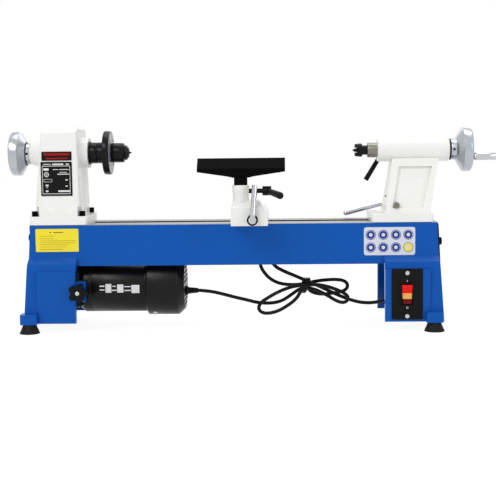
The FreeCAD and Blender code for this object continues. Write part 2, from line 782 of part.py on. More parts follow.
def build_belt():
    x = -s.pulley_right - s.pulley_step * (BELT_STEP + 1) + (s.pulley_step - s.belt_width) / 2
    top = s.pulley_small_radius + s.pulley_step_rise * (3 - BELT_STEP) + s.gap
    bottom = motor_pulley_radius(BELT_STEP) + s.gap
    outer = belt_side(top + s.belt_thickness, bottom + s.belt_thickness, x, s.belt_width)
    inner = belt_side(top, bottom, x - 1, s.belt_width + 2)
    shape_node("drive_belt", outer.cut(inner))


BELL_LEFT = -s.motor_left
BODY_LEFT = BELL_LEFT + s.bell_length
BODY_RIGHT = BELL_LEFT + s.motor_length
COVER_RIGHT = BODY_RIGHT + s.fan_cover_length
RIGHT_BELL = BODY_RIGHT - s.bell_length


def bell(x, side, bevel):
    """A cast end plate with a bearing seat, its flat face outwards and its rim bevelled."""
    r, seat = s.motor_radius - s.motor_wall - 0.1, s.motor_bearing_radius
    corner = [(0, s.motor_radius - bevel), (bevel, s.motor_radius)]
    shape = [(0, s.motor_shaft_radius + 1.5)] + corner
    shape += [(bevel + 3, s.motor_radius), (bevel + 3, r), (bevel + 9, r), (bevel + 9, r - 5), (bevel + 5, r - 8),
              (5, seat + 5), (s.bell_length, seat + 5), (s.bell_length, seat), (2, seat),
              (2, s.motor_shaft_radius + 1.5)]
    return turned("X", 0, 0, BELT_Z, [(x + side * along, radius) for along, radius in shape])


def motor_bolt_centres():
    return [(y, BELT_Z + z) for y in (-22, 22) for z in (-22, 22)]


def build_motor():
    left, right = BELL_LEFT + s.motor_bevel + 3, BODY_RIGHT - 4
    node("motor_housing", turned("X", 0, 0, BELT_Z, [
        (left, s.motor_radius - s.motor_wall), (left, s.motor_radius), (right, s.motor_radius),
        (right, s.motor_radius - s.motor_wall)]))
    bolt_holes = [rod("X", BELL_LEFT - 1, y, z, 3.1, 11) for y, z in motor_bolt_centres()]
    node("motor_end_bells", apart(cut(bell(BELL_LEFT, 1, s.motor_bevel), *bolt_holes), bell(BODY_RIGHT, -1, 1.0)))
    inner = s.motor_shaft_radius + s.running_clearance
    node("motor_bearings", apart(
        ring_bearing("X", BELL_LEFT + 2, 0, BELT_Z, s.motor_bearing_radius, inner, 11),
        ring_bearing("X", BODY_RIGHT - 13, 0, BELT_Z, s.motor_bearing_radius, inner, 11)))
    node("motor_shaft", rod("X", -330, 0, BELT_Z, s.motor_shaft_radius, COVER_RIGHT - 6 + 330))
    stator = s.motor_radius - s.motor_wall
    node("stator", turned("X", 0, 0, BELT_Z, [
        (-244, 27), (-244, 40), (-230, 40), (-230, stator), (-192, stator), (-192, 40), (-178, 40), (-178, 27)]))
    node("rotor", turned("X", 0, 0, BELT_Z, [
        (-240, s.motor_shaft_radius), (-240, 26.4), (-182, 26.4), (-182, s.motor_shaft_radius)]))
    blades = [rod("X", BODY_RIGHT + 8, 0, BELT_Z, 13, 22), rod("X", BODY_RIGHT + 8, 0, BELT_Z, 43, 2)]
    for i in range(7):
        turn = 2 * math.pi * i / 7
        blade = doc.addObject("Part::Box", "Blade")
        blade.Length, blade.Width, blade.Height = 20, 2, 33
        blade.Placement.Rotation = FreeCAD.Rotation(AXES["X"], math.degrees(turn))
        blades.append(place(blade, BODY_RIGHT + 9, -10 * math.sin(turn), BELT_Z + 10 * math.cos(turn)))
    node("motor_fan", cut(join(*blades), rod("X", BODY_RIGHT, 0, BELT_Z, s.motor_shaft_radius, 40)))
    profile = [(-s.pulley_right, s.motor_shaft_radius)]
    for i in range(4):
        profile += [(-s.pulley_right - s.pulley_step * i, motor_pulley_radius(i)),
                    (-s.pulley_right - s.pulley_step * (i + 1), motor_pulley_radius(i))]
    profile.append((-s.pulley_right - s.pulley_step * 4, s.motor_shaft_radius))
    node("motor_pulley", turned("X", 0, 0, BELT_Z, profile))
    build_fan_cover()
    build_motor_plate()


def build_fan_cover():
    r, wall = s.motor_radius + s.fan_cover_rise, s.fan_cover_wall
    cover = turned("X", 0, 0, BELT_Z, [
        (BODY_RIGHT, s.motor_radius + 0.05), (BODY_RIGHT, r - 1.5), (BODY_RIGHT + 1.5, r),
        (COVER_RIGHT - 12, r), (COVER_RIGHT, r - 11), (COVER_RIGHT, 0), (COVER_RIGHT - wall, 0),
        (COVER_RIGHT - wall, r - 12), (COVER_RIGHT - 12.5, r - wall), (BODY_RIGHT + 6, r - wall),
        (BODY_RIGHT + 6, s.motor_radius + 0.05)])
    slots = []
    for i in range(-4, 5):
        half = math.sqrt(38**2 - (8.2 * i) ** 2)
        if i in (-1, 0):
            continue
        slots.append(box(COVER_RIGHT - 6, -half, BELT_Z + 8.2 * i - 1.6, 8, 2 * half, 3.2))
    slots.append(rod("X", COVER_RIGHT - 6, 0, -s.cord_exit_depth, 6.1, 10))
    node("fan_cover", cut(cover, *slots))


def build_motor_plate():
    """The steel plate that carries the motor, closed against the leg's inner edge, with a front tab."""
    t = s.motor_plate_thickness
    x = BELL_LEFT - t
    plate = soften("Part::Fillet", box(x, -66, -146, t, 132, 62), 8.0,
                   lambda edge: edge.BoundBox.XLength > 3 and edge.Length < 6)
    tab = box(x, -68.4, KNOB_Z - 20, 20, 4, 40)
    holes = [rod("X", x - 1, 0, BELT_Z, 13, t + 2), rod("Y", KNOB_X, -75, KNOB_Z, 4.2, 20)]
    holes += [rod("X", x - 1, y, z, 3.2, t + 2) for y, z in motor_bolt_centres()]
    node("motor_plate", cut(join(plate, tab), *holes))
    node("motor_bolts", apart(*[join(rod("X", x - 4, y, z, 5.0, 3.95), rod("X", x - 1, y, z, 3.0, 14))
                                for y, z in motor_bolt_centres()]))
    radius = s.lock_knob_radius
    lobes = [rod("Y", KNOB_X, -95, KNOB_Z, radius - 5, 13)]
    for i in range(5):
        turn = 2 * math.pi * i / 5 + 0.3
        lobes.append(rod("Y", KNOB_X + (radius - 5.5) * math.sin(turn), -95,
                         KNOB_Z + (radius - 5.5) * math.cos(turn), 5.5, 13))
    node("motor_lock_knob", join(*lobes, rod("Y", KNOB_X, -82.5, KNOB_Z, 6, 8.2),
                                 rod("Y", KNOB_X, -76, KNOB_Z, 4, 17)))


# ---------------------------------------------------------------- switch and cord
PANEL_FACE = -(HALF_W + s.panel_proud)


def build_switch():
    x, z = s.switch_x, -s.switch_depth
    plate_y = PANEL_FACE - 1.5
    half_w, half_h = s.rocker_width / 2, s.rocker_height / 2
    plate = soften("Part::Fillet", box(x - s.switch_plate_width / 2, plate_y, z - s.switch_plate_height / 2,
                                       s.switch_plate_width, 1.5, s.switch_plate_height), 3.0,
                   lambda edge: 1 < edge.Length < 2)
    holes = [box(x - half_w - 1.6, plate_y - 1, z - half_h - 2.8, 2 * half_w + 3.2, 4, 2 * half_h + 5.6)]
    holes += [rod("Y", x, plate_y - 1, height, 2.0, 4) for height in switch_screw_heights()]
    node("switch_plate", cut(plate, *holes))
    frame = join(box(x - half_w - 3, plate_y - 1.5, z - half_h - 4, 2 * half_w + 6, 1.5, 2 * half_h + 8),
                 box(x - half_w - 1.4, plate_y - 0.5, z - half_h - 2.6, 2 * half_w + 2.8, 32, 2 * half_h + 5.2))
    pocket = box(x - half_w - 0.3, plate_y - 3, z - half_h - 1.4, 2 * half_w + 0.6, 17, 2 * half_h + 2.8)
    socket_hole = rod("Y", x, -56, z - 6, 5.1, 20)
    node("switch_housing", cut(frame, pocket, socket_hole))
    pivot = plate_y + 5.5
    rocker = slab("YZ", x - half_w, s.rocker_width, [
        (pivot - 8.5, z + half_h - 0.6), (pivot - 5, z), (pivot - 6.5, z - half_h), (pivot + 1, z - half_h + 3),
        (pivot + 6, z - 6), (pivot + 6, z + 6), (pivot - 1, z + half_h - 2)])
    node("rocker_switch", rocker)
    screws = [join(rod("Y", x, plate_y - 1.8, height, 3.6, 1.75), rod("Y", x, plate_y - 0.5, height, 1.8, 13))
              for height in switch_screw_heights()]
    node("switch_screws", apart(*screws))


MOTOR_LEAD = [
    (-66, 0, -125.5), (-45, 0, -127), (-22, 1, -132.5), (2, 3, -139.5), (22, 6, -144.5), (42, 9, -151.5)]
SWITCH_LEAD = [
    (208, 10, -146), (229, 8, -151.5), (251, 8, -152), (271, 5, -147), (288, -4, -139.5),
    (299, -19, -132), (303, -38, -129.5)]


def lead(points):
    """A cord's tube: straight runs joined by arcs as large as their runs allow."""
    base = FreeCAD.Vector(BED_X.number, BED_Y.number, BED_TOP.number)
    route = [base + FreeCAD.Vector(*point) for point in points]
    edges, radii = [], []
    start = route[0]
    length = 0.0
    for before, corner, after in zip(route, route[1:], route[2:]):
        back, ahead = before - corner, after - corner
        shorter = min(back.Length, ahead.Length)
        back.normalize()
        ahead.normalize()
        half_turn = (math.pi - back.getAngle(ahead)) / 2
        reach = 0.45 * shorter
        radii.append(reach / math.tan(half_turn))
        enter, leave = corner + back * reach, corner + ahead * reach
        middle_way = (back + ahead).normalize()
        centre_distance = radii[-1] / math.cos(half_turn)
        middle = corner + middle_way * (centre_distance - radii[-1])
        edges.append(Part.LineSegment(start, enter).toShape())
        edges.append(Part.Arc(enter, middle, leave).toShape())
        length += (enter - start).Length + radii[-1] * 2 * half_turn
        start = leave
    edges.append(Part.LineSegment(start, route[-1]).toShape())
    length += (route[-1] - start).Length
    ring = Part.Wire(Part.makeCircle(s.cord_radius.number, route[0], route[1] - route[0]))
    tube = Part.Wire(edges).makePipeShell([ring], True, False)
    expected = math.pi * s.cord_radius.number**2 * length
    print("cord radii", [round(radius) for radius in radii], "length", round(length),
          "volume ratio", round(tube.Volume / expected, 4))
    return tube


def build_cord():
    gland_end = COVER_RIGHT + 22
    gland = turned("X", 0, 0, -s.cord_exit_depth, [
        (COVER_RIGHT - 5, 3.4), (COVER_RIGHT - 5, 8), (COVER_RIGHT - 3, 8), (COVER_RIGHT - 3, 6),
        (COVER_RIGHT + 0.1, 6), (COVER_RIGHT + 0.1, 8.5), (COVER_RIGHT + 3, 8.5), (COVER_RIGHT + 5, 6),
        (gland_end, 4.4), (gland_end, 0), (COVER_RIGHT + 18, 0), (COVER_RIGHT + 18, 3.4)])
    z = -s.switch_depth - 6
    rear = PANEL_FACE + 30
    switch_gland = turned("Y", s.switch_x, 0, z, [
        (rear - 6, 0), (rear - 6, 5), (rear, 5), (rear + 0.1, 7.5), (rear + 2.5, 7.5), (-38, 4.6), (-38, 0)])
    node("cable_glands", apart(gland, switch_gland))
    shape_node("motor_lead", lead(MOTOR_LEAD))
    shape_node("switch_lead", lead(SWITCH_LEAD))
    hank = slab("XZ", -5, 34, [
        (42, -64), (73, -64), (80, -84), (124, -103), (164, -101), (203, -114), (208, -140), (208, -151),
        (196, -153), (172, -149), (140, -140), (118, -137), (92, -157), (62, -170), (42, -168), (42, -145),
        (58, -132), (88, -118), (62, -112), (44, -96)])
    node("cord_hank", hank)
    wall = HALF_W - s.bed_wall
    node("cord_clip", join(box(50, wall - 3, -70, 15, 3, 20), rod("Y", 57.5, -2, -60, 3.6, wall + 1)))


# ---------------------------------------------------------------- tailstock
TAIL_RIGHT = s.tail_left + s.tail_length
BARREL_RIGHT = s.barrel_left + s.barrel_length
QUILL_RIGHT = s.quill_left + s.quill_length
RING_RIGHT = BARREL_RIGHT + 2.9
TAIL_FACE = RING_RIGHT + s.gap
TAIL_WHEEL_END = TAIL_FACE + s.tail_wheel_hub + s.wheel_cone + s.wheel_rim


def clamp_handle(hub_axis, hub, tip, radius):
    """A moulded lever: a hub with a flat cap, and an arm that swells to a rounded end."""
    x, y, z = hub
    reach = FreeCAD.Vector(*tip)
    return join(rod(hub_axis, x, y, z, 8.0, 15),
                taper(tip, *centre_of(hub_axis, hub), 5.0, radius, reach.Length),
                ball(*[a + b for a, b in zip(centre_of(hub_axis, hub), tip)], radius + 0.05, tip))


def centre_of(axis, start):
    x, y, z = start
    return (x + 9, y, z) if axis == "X" else (x, y + 9, z)


def build_tailstock():
    base = soften("Part::Fillet", box(s.tail_left, -HALF_W, 0, s.tail_length, s.bed_width, s.tail_base_height),
                  5.0, upright)
    side = [(s.tail_left + 25, 12), (s.tail_left + 40, 110), (s.tail_left + 121, 110), (TAIL_RIGHT - 5.5, 12)]
    end = [(50, 12), (34, 60), (22, 106), (17, 122)]
    column = common(slab("XZ", -HALF_W, s.bed_width, side), slab("YZ", s.tail_left, 140, mirrored_y(end)))
    recess = [(s.tail_left + 38, 24), (s.tail_left + 51, 96), (s.tail_left + 109, 96), (TAIL_RIGHT - 17, 24)]
    core = slab("YZ", s.tail_left, 140, mirrored_y([(44, 10), (28, 60), (16, 106), (12, 122)]))
    panel = cut(slab("XZ", -HALF_W, s.bed_width, recess), core)
    barrel = turned("X", 0, 0, AXIS, [
        (s.barrel_left, 0), (s.barrel_left, s.barrel_radius - 1.5), (s.barrel_left + 1.5, s.barrel_radius),
        (BARREL_RIGHT - 1.5, s.barrel_radius), (BARREL_RIGHT, s.barrel_radius - 1.5), (BARREL_RIGHT, 0)])
    tongue = box(s.tail_left + 6, -s.slot_width / 2 + 0.1, -8, s.tail_length - 22, s.slot_width - 0.2, 10)
    cam = s.tail_cam_x
    inside = [
        rod("X", s.barrel_left - 1, 0, AXIS, s.quill_radius + s.running_clearance, QUILL_RIGHT + 14 - s.barrel_left),
        rod("X", QUILL_RIGHT, 0, AXIS, s.leadscrew_radius + 0.1, 40),
        rod("Y", 273, 0, AXIS, 4.2, 40),
        rod("Y", cam, -HALF_W, s.tail_cam_height, s.tail_cam_radius + 0.15, 120),
        box(cam - 15, -17, -9, 46, 34, 53),
    ]
    node("tailstock_casting", cut(join(cut(join(base, column), panel), barrel, tongue), *inside))
    build_quill()
    build_tail_clamp()
    build_tail_wheel()


def build_quill():
    tail_radius = s.taper_radius - s.taper_slope * s.taper_length
    solid = turned("X", 0, 0, AXIS, [
        (s.quill_left, 0), (s.quill_left, s.quill_radius - 0.7), (s.quill_left + 0.7, s.quill_radius),
        (QUILL_RIGHT - 0.7, s.quill_radius), (QUILL_RIGHT, s.quill_radius - 0.7), (QUILL_RIGHT, 0)])
    bore = rod("X", s.quill_left, 0, AXIS, s.leadscrew_radius + 0.1, s.quill_length + 1)
    node("quill", cut(solid, bore, socket(1, s.quill_left, 3)))
    x = s.quill_left
    centre = turned("X", 0, 0, AXIS, [
        (x + s.taper_length, 0), (x + s.taper_length, tail_radius), (x, s.taper_radius), (x, 8.5), (x - 9, 8.5),
        (x - 9, s.spur_radius - 0.8), (x - 9.8, s.spur_radius), (x - 21, s.spur_radius), (x - 22, s.spur_radius - 1),
        (x - 17.5, 3.2), (x - 22, 3.2), (x - 26.8, 0)])
    notches = []
    for i in range(4):
        turn = math.pi / 2 * i
        notch = doc.addObject("Part::Box", "Notch")
        notch.Length, notch.Width, notch.Height = 7, 9, 12
        notch.Placement.Rotation = FreeCAD.Rotation(AXES["X"], math.degrees(turn))
        offset_y = -4.5 * math.cos(turn) - 4.2 * math.sin(turn)
        offset_z = -4.5 * math.sin(turn) + 4.2 * math.cos(turn)
        notches.append(place(notch, x - 23, offset_y, AXIS + offset_z))
    node("spur_centre", cut(centre, *notches))
    hub = (273, s.barrel_radius + 1, AXIS)
    handle = clamp_handle("Y", hub, (-30, 3, -51), 6.2)
    stud = rod("Y", 273, s.quill_radius + s.gap, AXIS, 4, 12)
    node("quill_lock_lever", join(handle, stud))


def build_tail_clamp():
    x, z, r = s.tail_cam_x, s.tail_cam_height, s.tail_cam_radius
    eye = cut(join(rod("Y", x, -6, z, 11.5, 12), rod("Z", x, 0, -37, 5, z + 28)),
              rod("Y", x, -8, z, r + s.gap, 16))
    low = -s.way_thickness - 0.4 - s.shoe_thickness
    shoe = cut(box(x - 22, -s.shoe_half_width, low, 44, 2 * s.shoe_half_width, s.shoe_thickness),
               rod("Z", x, 0, low - 1, 5.2, 20))
    nut = cut(rod("Z", x, 0, low - 8.1, 9, 8), rod("Z", x, 0, low - 9, 5.05, 10))
    node("tailstock_clamp", apart(eye, shoe, nut))
    shaft = rod("Y", x, -48.5, z, r, 118)
    hub = rod("Y", x, 56, z, 9, 13)
    reach = (-81.5, 0, -20.2)
    lever = join(taper(reach, x, 63, z, 3.6, 5.2, 84), ball(x + reach[0], 63, z + reach[2], 5.25, reach), hub)
    node("tailstock_cam", apart(cut(lever, rod("Y", x, 50, z, r + 0.02, 30)), shaft))


def build_tail_wheel():
    bore = s.leadscrew_radius + s.running_clearance
    x = TAIL_FACE + s.tail_wheel_hub / 2
    wheel = handwheel(TAIL_FACE, 1, s.tail_wheel_hub, bore)
    boss = rod("X", TAIL_FACE + s.tail_wheel_hub + 12, -s.crank_offset_y, AXIS - s.crank_offset_z, 8.0,
               s.wheel_cone + s.wheel_rim - 11.7)
    bolt_hole = rod("X", TAIL_FACE + s.tail_wheel_hub + 8, -s.crank_offset_y, AXIS - s.crank_offset_z,
                    s.crank_bolt_radius + 0.02, 40)
    hole = rod("Y", x, -s.wheel_hub_radius - 4, AXIS, 2.2, s.wheel_hub_radius + 4 - 5)
    node("tailstock_handwheel", cut(join(wheel, boss), bolt_hole, hole))
    node("tailstock_wheel_screw", set_screw(x, 6.1))
    node("thrust_ring", turned("X", 0, 0, AXIS, [
        (BARREL_RIGHT, s.leadscrew_radius + 0.1), (BARREL_RIGHT, 19), (RING_RIGHT, 19),
        (RING_RIGHT, s.leadscrew_radius + 0.1)]))
    node("leadscrew", turned("X", 0, 0, AXIS, [
        (s.leadscrew_tip, 0), (s.leadscrew_tip, s.leadscrew_radius - 1), (s.leadscrew_tip + 1, s.leadscrew_radius),
        (QUILL_RIGHT + 8.5, s.leadscrew_radius), (QUILL_RIGHT + 8.5, 10), (QUILL_RIGHT + 12.5, 10),
        (QUILL_RIGHT + 12.5, s.leadscrew_radius), (TAIL_WHEEL_END - 6, s.leadscrew_radius),
        (TAIL_WHEEL_END - 6, 0)]))
    crank_left = TAIL_WHEEL_END + 0.6
    end = crank_left + s.crank_length
    y, z = -s.crank_offset_y, AXIS - s.crank_offset_z
    node("crank_handle", turned("X", 0, y, z, [
        (crank_left, s.crank_bolt_radius + 0.1), (crank_left, s.crank_radius - 1.5),
        (crank_left + 2, s.crank_radius), (end - 2, s.crank_radius), (end, s.crank_radius - 1.5),
        (end, s.crank_bolt_radius + 0.1)]))
    node("crank_bolt", turned("X", 0, y, z, [
        (TAIL_WHEEL_END - 14, 0), (TAIL_WHEEL_END - 14, s.crank_bolt_radius), (end + s.gap, s.crank_bolt_radius),
        (end + s.gap, 5), (end + 1.2, 5), (end + 2, 4), (end + 2, 0)]))


# ---------------------------------------------------------------- banjo and tool rest
def build_banjo():
    left, right = s.banjo_left, s.banjo_left + s.banjo_width
    side = [(left, 0.1), (right, 0.1), (right - 0.5, 17), (right - 15, s.banjo_height),
            (left + 4, s.banjo_height), (left, s.banjo_height - 12)]
    end = [(-s.banjo_front + 2, 0.1), (-s.banjo_front, 6), (-s.banjo_front, 32), (-s.banjo_front + 10, s.banjo_height),
           (-66, s.banjo_height), (-24, 32), (s.banjo_rear, 26), (s.banjo_rear, 0.1)]
    high = BED_TOP.number + 10
    crown = soften("Part::Fillet", slab("XZ", -s.banjo_front - 5, 200, side), 5.0,
                   lambda edge: edge.BoundBox.ZMin > high and edge.BoundBox.YLength > 100)
    nose = soften("Part::Fillet", slab("YZ", left - 5, s.banjo_width + 10, end), 5.0,
                  lambda edge: edge.BoundBox.ZMin > high and edge.BoundBox.XLength > 50)
    block = common(crown, nose)
    x, y = s.post_x, -s.post_y
    neck = s.post_height - 12.3
    post = turned("Z", x, y, 0, [(1, 0), (1, s.post_radius - 0.7), (neck - 1, s.post_radius - 0.7),
                                 (neck, s.post_radius), (s.post_height - 1, s.post_radius),
                                 (s.post_height, s.post_radius - 1), (s.post_height, 0)])
    cam_x, cam_z = s.banjo_cam_x, s.banjo_cam_height
    inside = [
        rod("Z", x, y, 8, s.stem_radius + s.running_clearance, s.post_height),
        rod("X", x + 5, y, s.lock_height, 4.2, 20),
        box(cam_x - 13, -64, 4.2, 26, 110, 18.5),
        box(cam_x - 9.8, -62, -1, 19.6, 106, 10),
        rod("Y", cam_x, -s.banjo_front - 2, cam_z, s.banjo_cam_radius + 0.1, s.banjo_front + s.banjo_rear + 4),
        rod("Y", cam_x, -s.banjo_front - 2, cam_z, 9.25, 6),
    ]
    node("banjo_casting", cut(join(block, post), *inside))
    shaft = rod("Y", cam_x, -s.banjo_front - 12, cam_z, s.banjo_cam_radius, s.banjo_front + s.banjo_rear + 11)
    reach = (4.5, 0, 59.5)
    handle_y = -s.banjo_front - 7
    handle = join(taper(reach, cam_x, handle_y, cam_z, 4.5, 4.5, 59.7),
                  rod("Y", cam_x, -s.banjo_front - 12.5, cam_z, 8.6, 11.5))
    node("banjo_cam", apart(shaft, cut(handle, rod("Y", cam_x, -140, cam_z, s.banjo_cam_radius + 0.02, 40))))
    low = -s.way_thickness - 0.4 - s.shoe_thickness
    shoe = cut(box(cam_x - 22, -s.shoe_half_width, low, 44, 2 * s.shoe_half_width, s.shoe_thickness),
               rod("Z", cam_x, 0, low - 1, 4.7, 20))
    nut = cut(rod("Z", cam_x, 0, low - 8.1, 9, 8), rod("Z", cam_x, 0, low - 9, 4.55, 10))
    node("banjo_clamp", apart(rod("Z", cam_x, 0, -37, 4.5, 34.5), shoe, nut))
    body = join(box(cam_x - 11, -11, 4.5, 22, 22, 16), rod("Z", cam_x, 0, -12, 9.2, 17))
    node("banjo_block", cut(body, rod("Y", cam_x, -12, cam_z, s.banjo_cam_radius + 0.1, 24),
                            rod("Z", cam_x, 0, -13, 4.6, 11)))
    build_tool_rest(x, y)


def build_tool_rest(x, y):
    pin = 7.0
    pin_height = 16.0
    node("tool_rest_stem", turned("Z", x, y, 0, [
        (s.stem_bottom, 0), (s.stem_bottom, s.stem_radius - 1), (s.stem_bottom + 1, s.stem_radius),
        (s.rest_bottom - s.gap, s.stem_radius), (s.rest_bottom - s.gap, pin),
        (s.rest_bottom + pin_height - 0.5, pin), (s.rest_bottom + pin_height - 0.5, 0)]))
    left = x - s.rest_length / 2 + 1
    right = left + s.rest_length
    low = s.rest_bottom + 10
    side = [(left, s.rest_top), (left, low), (x - 22, s.rest_bottom + 2), (x - 14, s.rest_bottom),
            (x + 14, s.rest_bottom), (x + 22, s.rest_bottom + 2), (right, low), (right, s.rest_top)]
    end = [(y + 12, s.rest_top), (y + 7, s.rest_top), (y - 13, s.rest_top - 17), (y - 13, s.rest_top - 22),
           (y - 9, s.rest_bottom), (y + 9, s.rest_bottom), (y + 12, s.rest_top - 22)]
    blade = common(slab("XZ", y - 30, 60, side), slab("YZ", left - 5, s.rest_length + 10, end))
    node("tool_rest", cut(blade, rod("Z", x, y, s.rest_bottom - 1, pin + 0.05, pin_height + 1)))
    hub = (s.post_x + 37, y, s.lock_height)
    handle = clamp_handle("X", hub, (21, -44, -6), 6.0)
    stud = rod("X", s.post_x + s.stem_radius + 0.35, y, s.lock_height, 4, 28)
    node("rest_lock_lever", join(handle, stud))


def check_model():
    """Stop on any failed object or unsound shape."""
    doc.recompute()
    for item in doc.Objects:
        if {"Invalid", "Error"} & set(item.State):
            raise RuntimeError(f"{item.Label} ({item.Name}) failed: {item.State}")
    for label, item in NODES.items():
        if item.Shape.isNull() or not item.Shape.isValid() or not item.Shape.Solids:
            raise RuntimeError(f"{label} has no sound shape")


def write_parts():
    os.makedirs("parts", exist_ok=True)
    for label, item in NODES.items():
        item.Shape.exportStep(os.path.join("parts", f"{label}.step"))


def main():
    build_bed()
    build_feet()
    build_covers()
    build_headstock()
    build_labels()
    build_spindle()
    build_cup_centre()
    build_spindle_wheel()
    build_belt()
    build_motor()
    build_switch()
    build_cord()
    build_tailstock()
    build_banjo()
    check_model()
    write_parts()
    print(len(NODES), "nodes")


main()
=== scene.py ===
"""Looks of a bench wood lathe: camera, cord, castings, turned parts, motor, switch, plates and studio.

Laid out as an add-on and run as a script. Sizes are in metres, colours are sRGB hex values.
"""
import math

import bmesh
import bpy
from bpy.props import FloatProperty, FloatVectorProperty, IntProperty, PointerProperty
from bpy.types import Operator, Panel, PropertyGroup
from mathutils import Matrix, Vector


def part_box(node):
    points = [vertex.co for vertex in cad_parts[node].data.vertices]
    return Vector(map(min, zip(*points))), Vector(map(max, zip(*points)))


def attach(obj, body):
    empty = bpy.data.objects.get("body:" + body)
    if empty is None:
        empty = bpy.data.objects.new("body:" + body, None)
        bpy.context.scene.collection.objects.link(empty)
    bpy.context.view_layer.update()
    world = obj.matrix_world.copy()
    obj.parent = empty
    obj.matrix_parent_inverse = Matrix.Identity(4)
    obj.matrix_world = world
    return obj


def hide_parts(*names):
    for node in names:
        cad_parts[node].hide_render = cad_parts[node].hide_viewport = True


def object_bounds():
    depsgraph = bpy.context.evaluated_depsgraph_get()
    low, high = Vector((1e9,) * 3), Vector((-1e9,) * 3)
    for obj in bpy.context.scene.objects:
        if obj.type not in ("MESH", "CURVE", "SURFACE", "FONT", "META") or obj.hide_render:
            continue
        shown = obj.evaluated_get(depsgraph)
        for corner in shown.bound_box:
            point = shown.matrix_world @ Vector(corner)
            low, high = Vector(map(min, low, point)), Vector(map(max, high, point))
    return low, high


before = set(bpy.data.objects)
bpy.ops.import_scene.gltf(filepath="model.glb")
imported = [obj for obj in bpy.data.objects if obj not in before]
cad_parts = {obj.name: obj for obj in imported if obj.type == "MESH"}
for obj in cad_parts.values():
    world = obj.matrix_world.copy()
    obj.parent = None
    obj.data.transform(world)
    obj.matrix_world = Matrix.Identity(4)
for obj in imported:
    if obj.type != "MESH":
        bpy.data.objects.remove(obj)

bl_info = {
    "name": "Bench wood lathe",
    "version": (1, 0, 0),
    "blender": (4, 5, 0),
    "location": "View3D > Sidebar > Lathe",
    "description": "Finishes and trim of a bench wood lathe around its packed frame",
    "category": "Object",
}

CAD_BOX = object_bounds()
BED = Vector((-0.035, 0.024, 0.188))
"""The middle of the bed's top, from which the lathe is set out."""
CENTRE_HEIGHT = 0.125
"""How far the spindle's axis lies above the bed."""
SLOT_REACH = 0.0155
"""Half the width of the bed's slot, with its walls."""
"""The cord from end to end, hank and all."""
PRINT_HEIGHT = 0.00008
"""How far printing stands off its plate."""


def linear(code):
    """An sRGB hex colour as linear red, green and blue."""
    values = [int(code[i:i + 2], 16) / 255 for i in (1, 3, 5)]
    return tuple(v / 12.92 if v <= 0.04045 else ((v + 0.055) / 1.055) ** 2.4 for v in values)


def colour(title, about, code):
    """A colour setting, whose default is a hex value."""
    return FloatVectorProperty(name=title, description=about, subtype="COLOR", size=3, min=0, max=1,
                               default=linear(code))


def length(title, about, default):
    """A length setting in metres."""
    return FloatProperty(name=title, description=about, default=default, min=0, subtype="DISTANCE",
                         unit="LENGTH")


# ---------------------------------------------------------------- settings
class LatheColours(PropertyGroup):
    """The colours that a maker would choose."""
    bed: colour("Bed enamel", "Gloss enamel on the bed and legs", "#0056B2")
    head: colour("Head enamel", "Gloss enamel on headstock, tailstock and tool-rest base", "#F4F4F0")
    trim: colour("Black enamel", "Satin enamel on motor and covers", "#0B0B0C")
    oxide: colour("Black oxide", "Blackened steel of faceplate, tool rest and bolts", "#0D0D0E")
    plastic: colour("Black plastic", "Moulded knobs, levers and switch plate", "#0B0B0D")
    jacket: colour("Cord jacket", "Extruded cord", "#080809")
    rubber: colour("Rubber", "Feet", "#141414")
    rocker: colour("Rocker", "Switch rocker", "#F01008")
    # Painted highlight: a pale band where light glints across the rocker's tilted lower half.
    window: colour("Rocker window", "Pale band across the rocker", "#F3B660")
    caution: colour("Yellow film", "Plate on the bed's left", "#F6E53C")
    film: colour("Pale film", "Plate on the bed's right", "#DDE0EA")
    disc: colour("Disc blue", "Plain discs on the pale plate", "#1B3F95")
    title: colour("Title red", "Band on the headstock's plate", "#A01414")


class LatheSizes(PropertyGroup):
    """Sizes that a maker would choose."""
    cord: length("Cord", "Cord diameter", 0.0064)
    edge: length("Edge", "Rounding of machined edges", 0.0005)
    cast_edge: length("Cast edge", "Rounding of cast edges", 0.0014)
    room: length("Floor", "Side of the studio floor", 14.0)
    steps: IntProperty(name="Steps", description="Sides of a turned part", default=112, min=24, max=256)


def colours():
    """The scene's colour settings."""
    return bpy.context.scene.lathe_colours


def sizes():
    """The scene's size settings."""
    return bpy.context.scene.lathe_sizes


# ---------------------------------------------------------------- materials
def add(tree, kind, inputs=None, to=None, out=0, **options):
    """Adds a shader node, sets its options, fills or links its inputs, and links its output to a socket."""
    item = tree.nodes.new(kind)
    for name, value in options.items():
        setattr(item, name, value)
    for socket, value in (inputs or {}).items():
        if isinstance(value, bpy.types.NodeSocket):
            tree.links.new(value, item.inputs[socket])
        else:
            item.inputs[socket].default_value = value
    if to:
        tree.links.new(item.outputs[out], to)
    return item


def surface(name, base, metallic, roughness, **sockets):
    """A material with one Principled shader, whose even values are set on its own sockets."""
    made = bpy.data.materials.new(name)
    made.use_nodes = True
    tree = made.node_tree
    tree.nodes.clear()
    shader = add(tree, "ShaderNodeBsdfPrincipled", {
        "Base Color": (*base, 1), "Metallic": metallic, "Roughness": roughness, **sockets})
    add(tree, "ShaderNodeOutputMaterial", {"Surface": shader.outputs[0]})
    return made, tree, shader


def tones(base, spread):
    """A colour made a little darker, and made a little lighter."""
    return [(*[min(1, c * share) for c in base], 1) for share in (1 - spread, 1 + spread)]


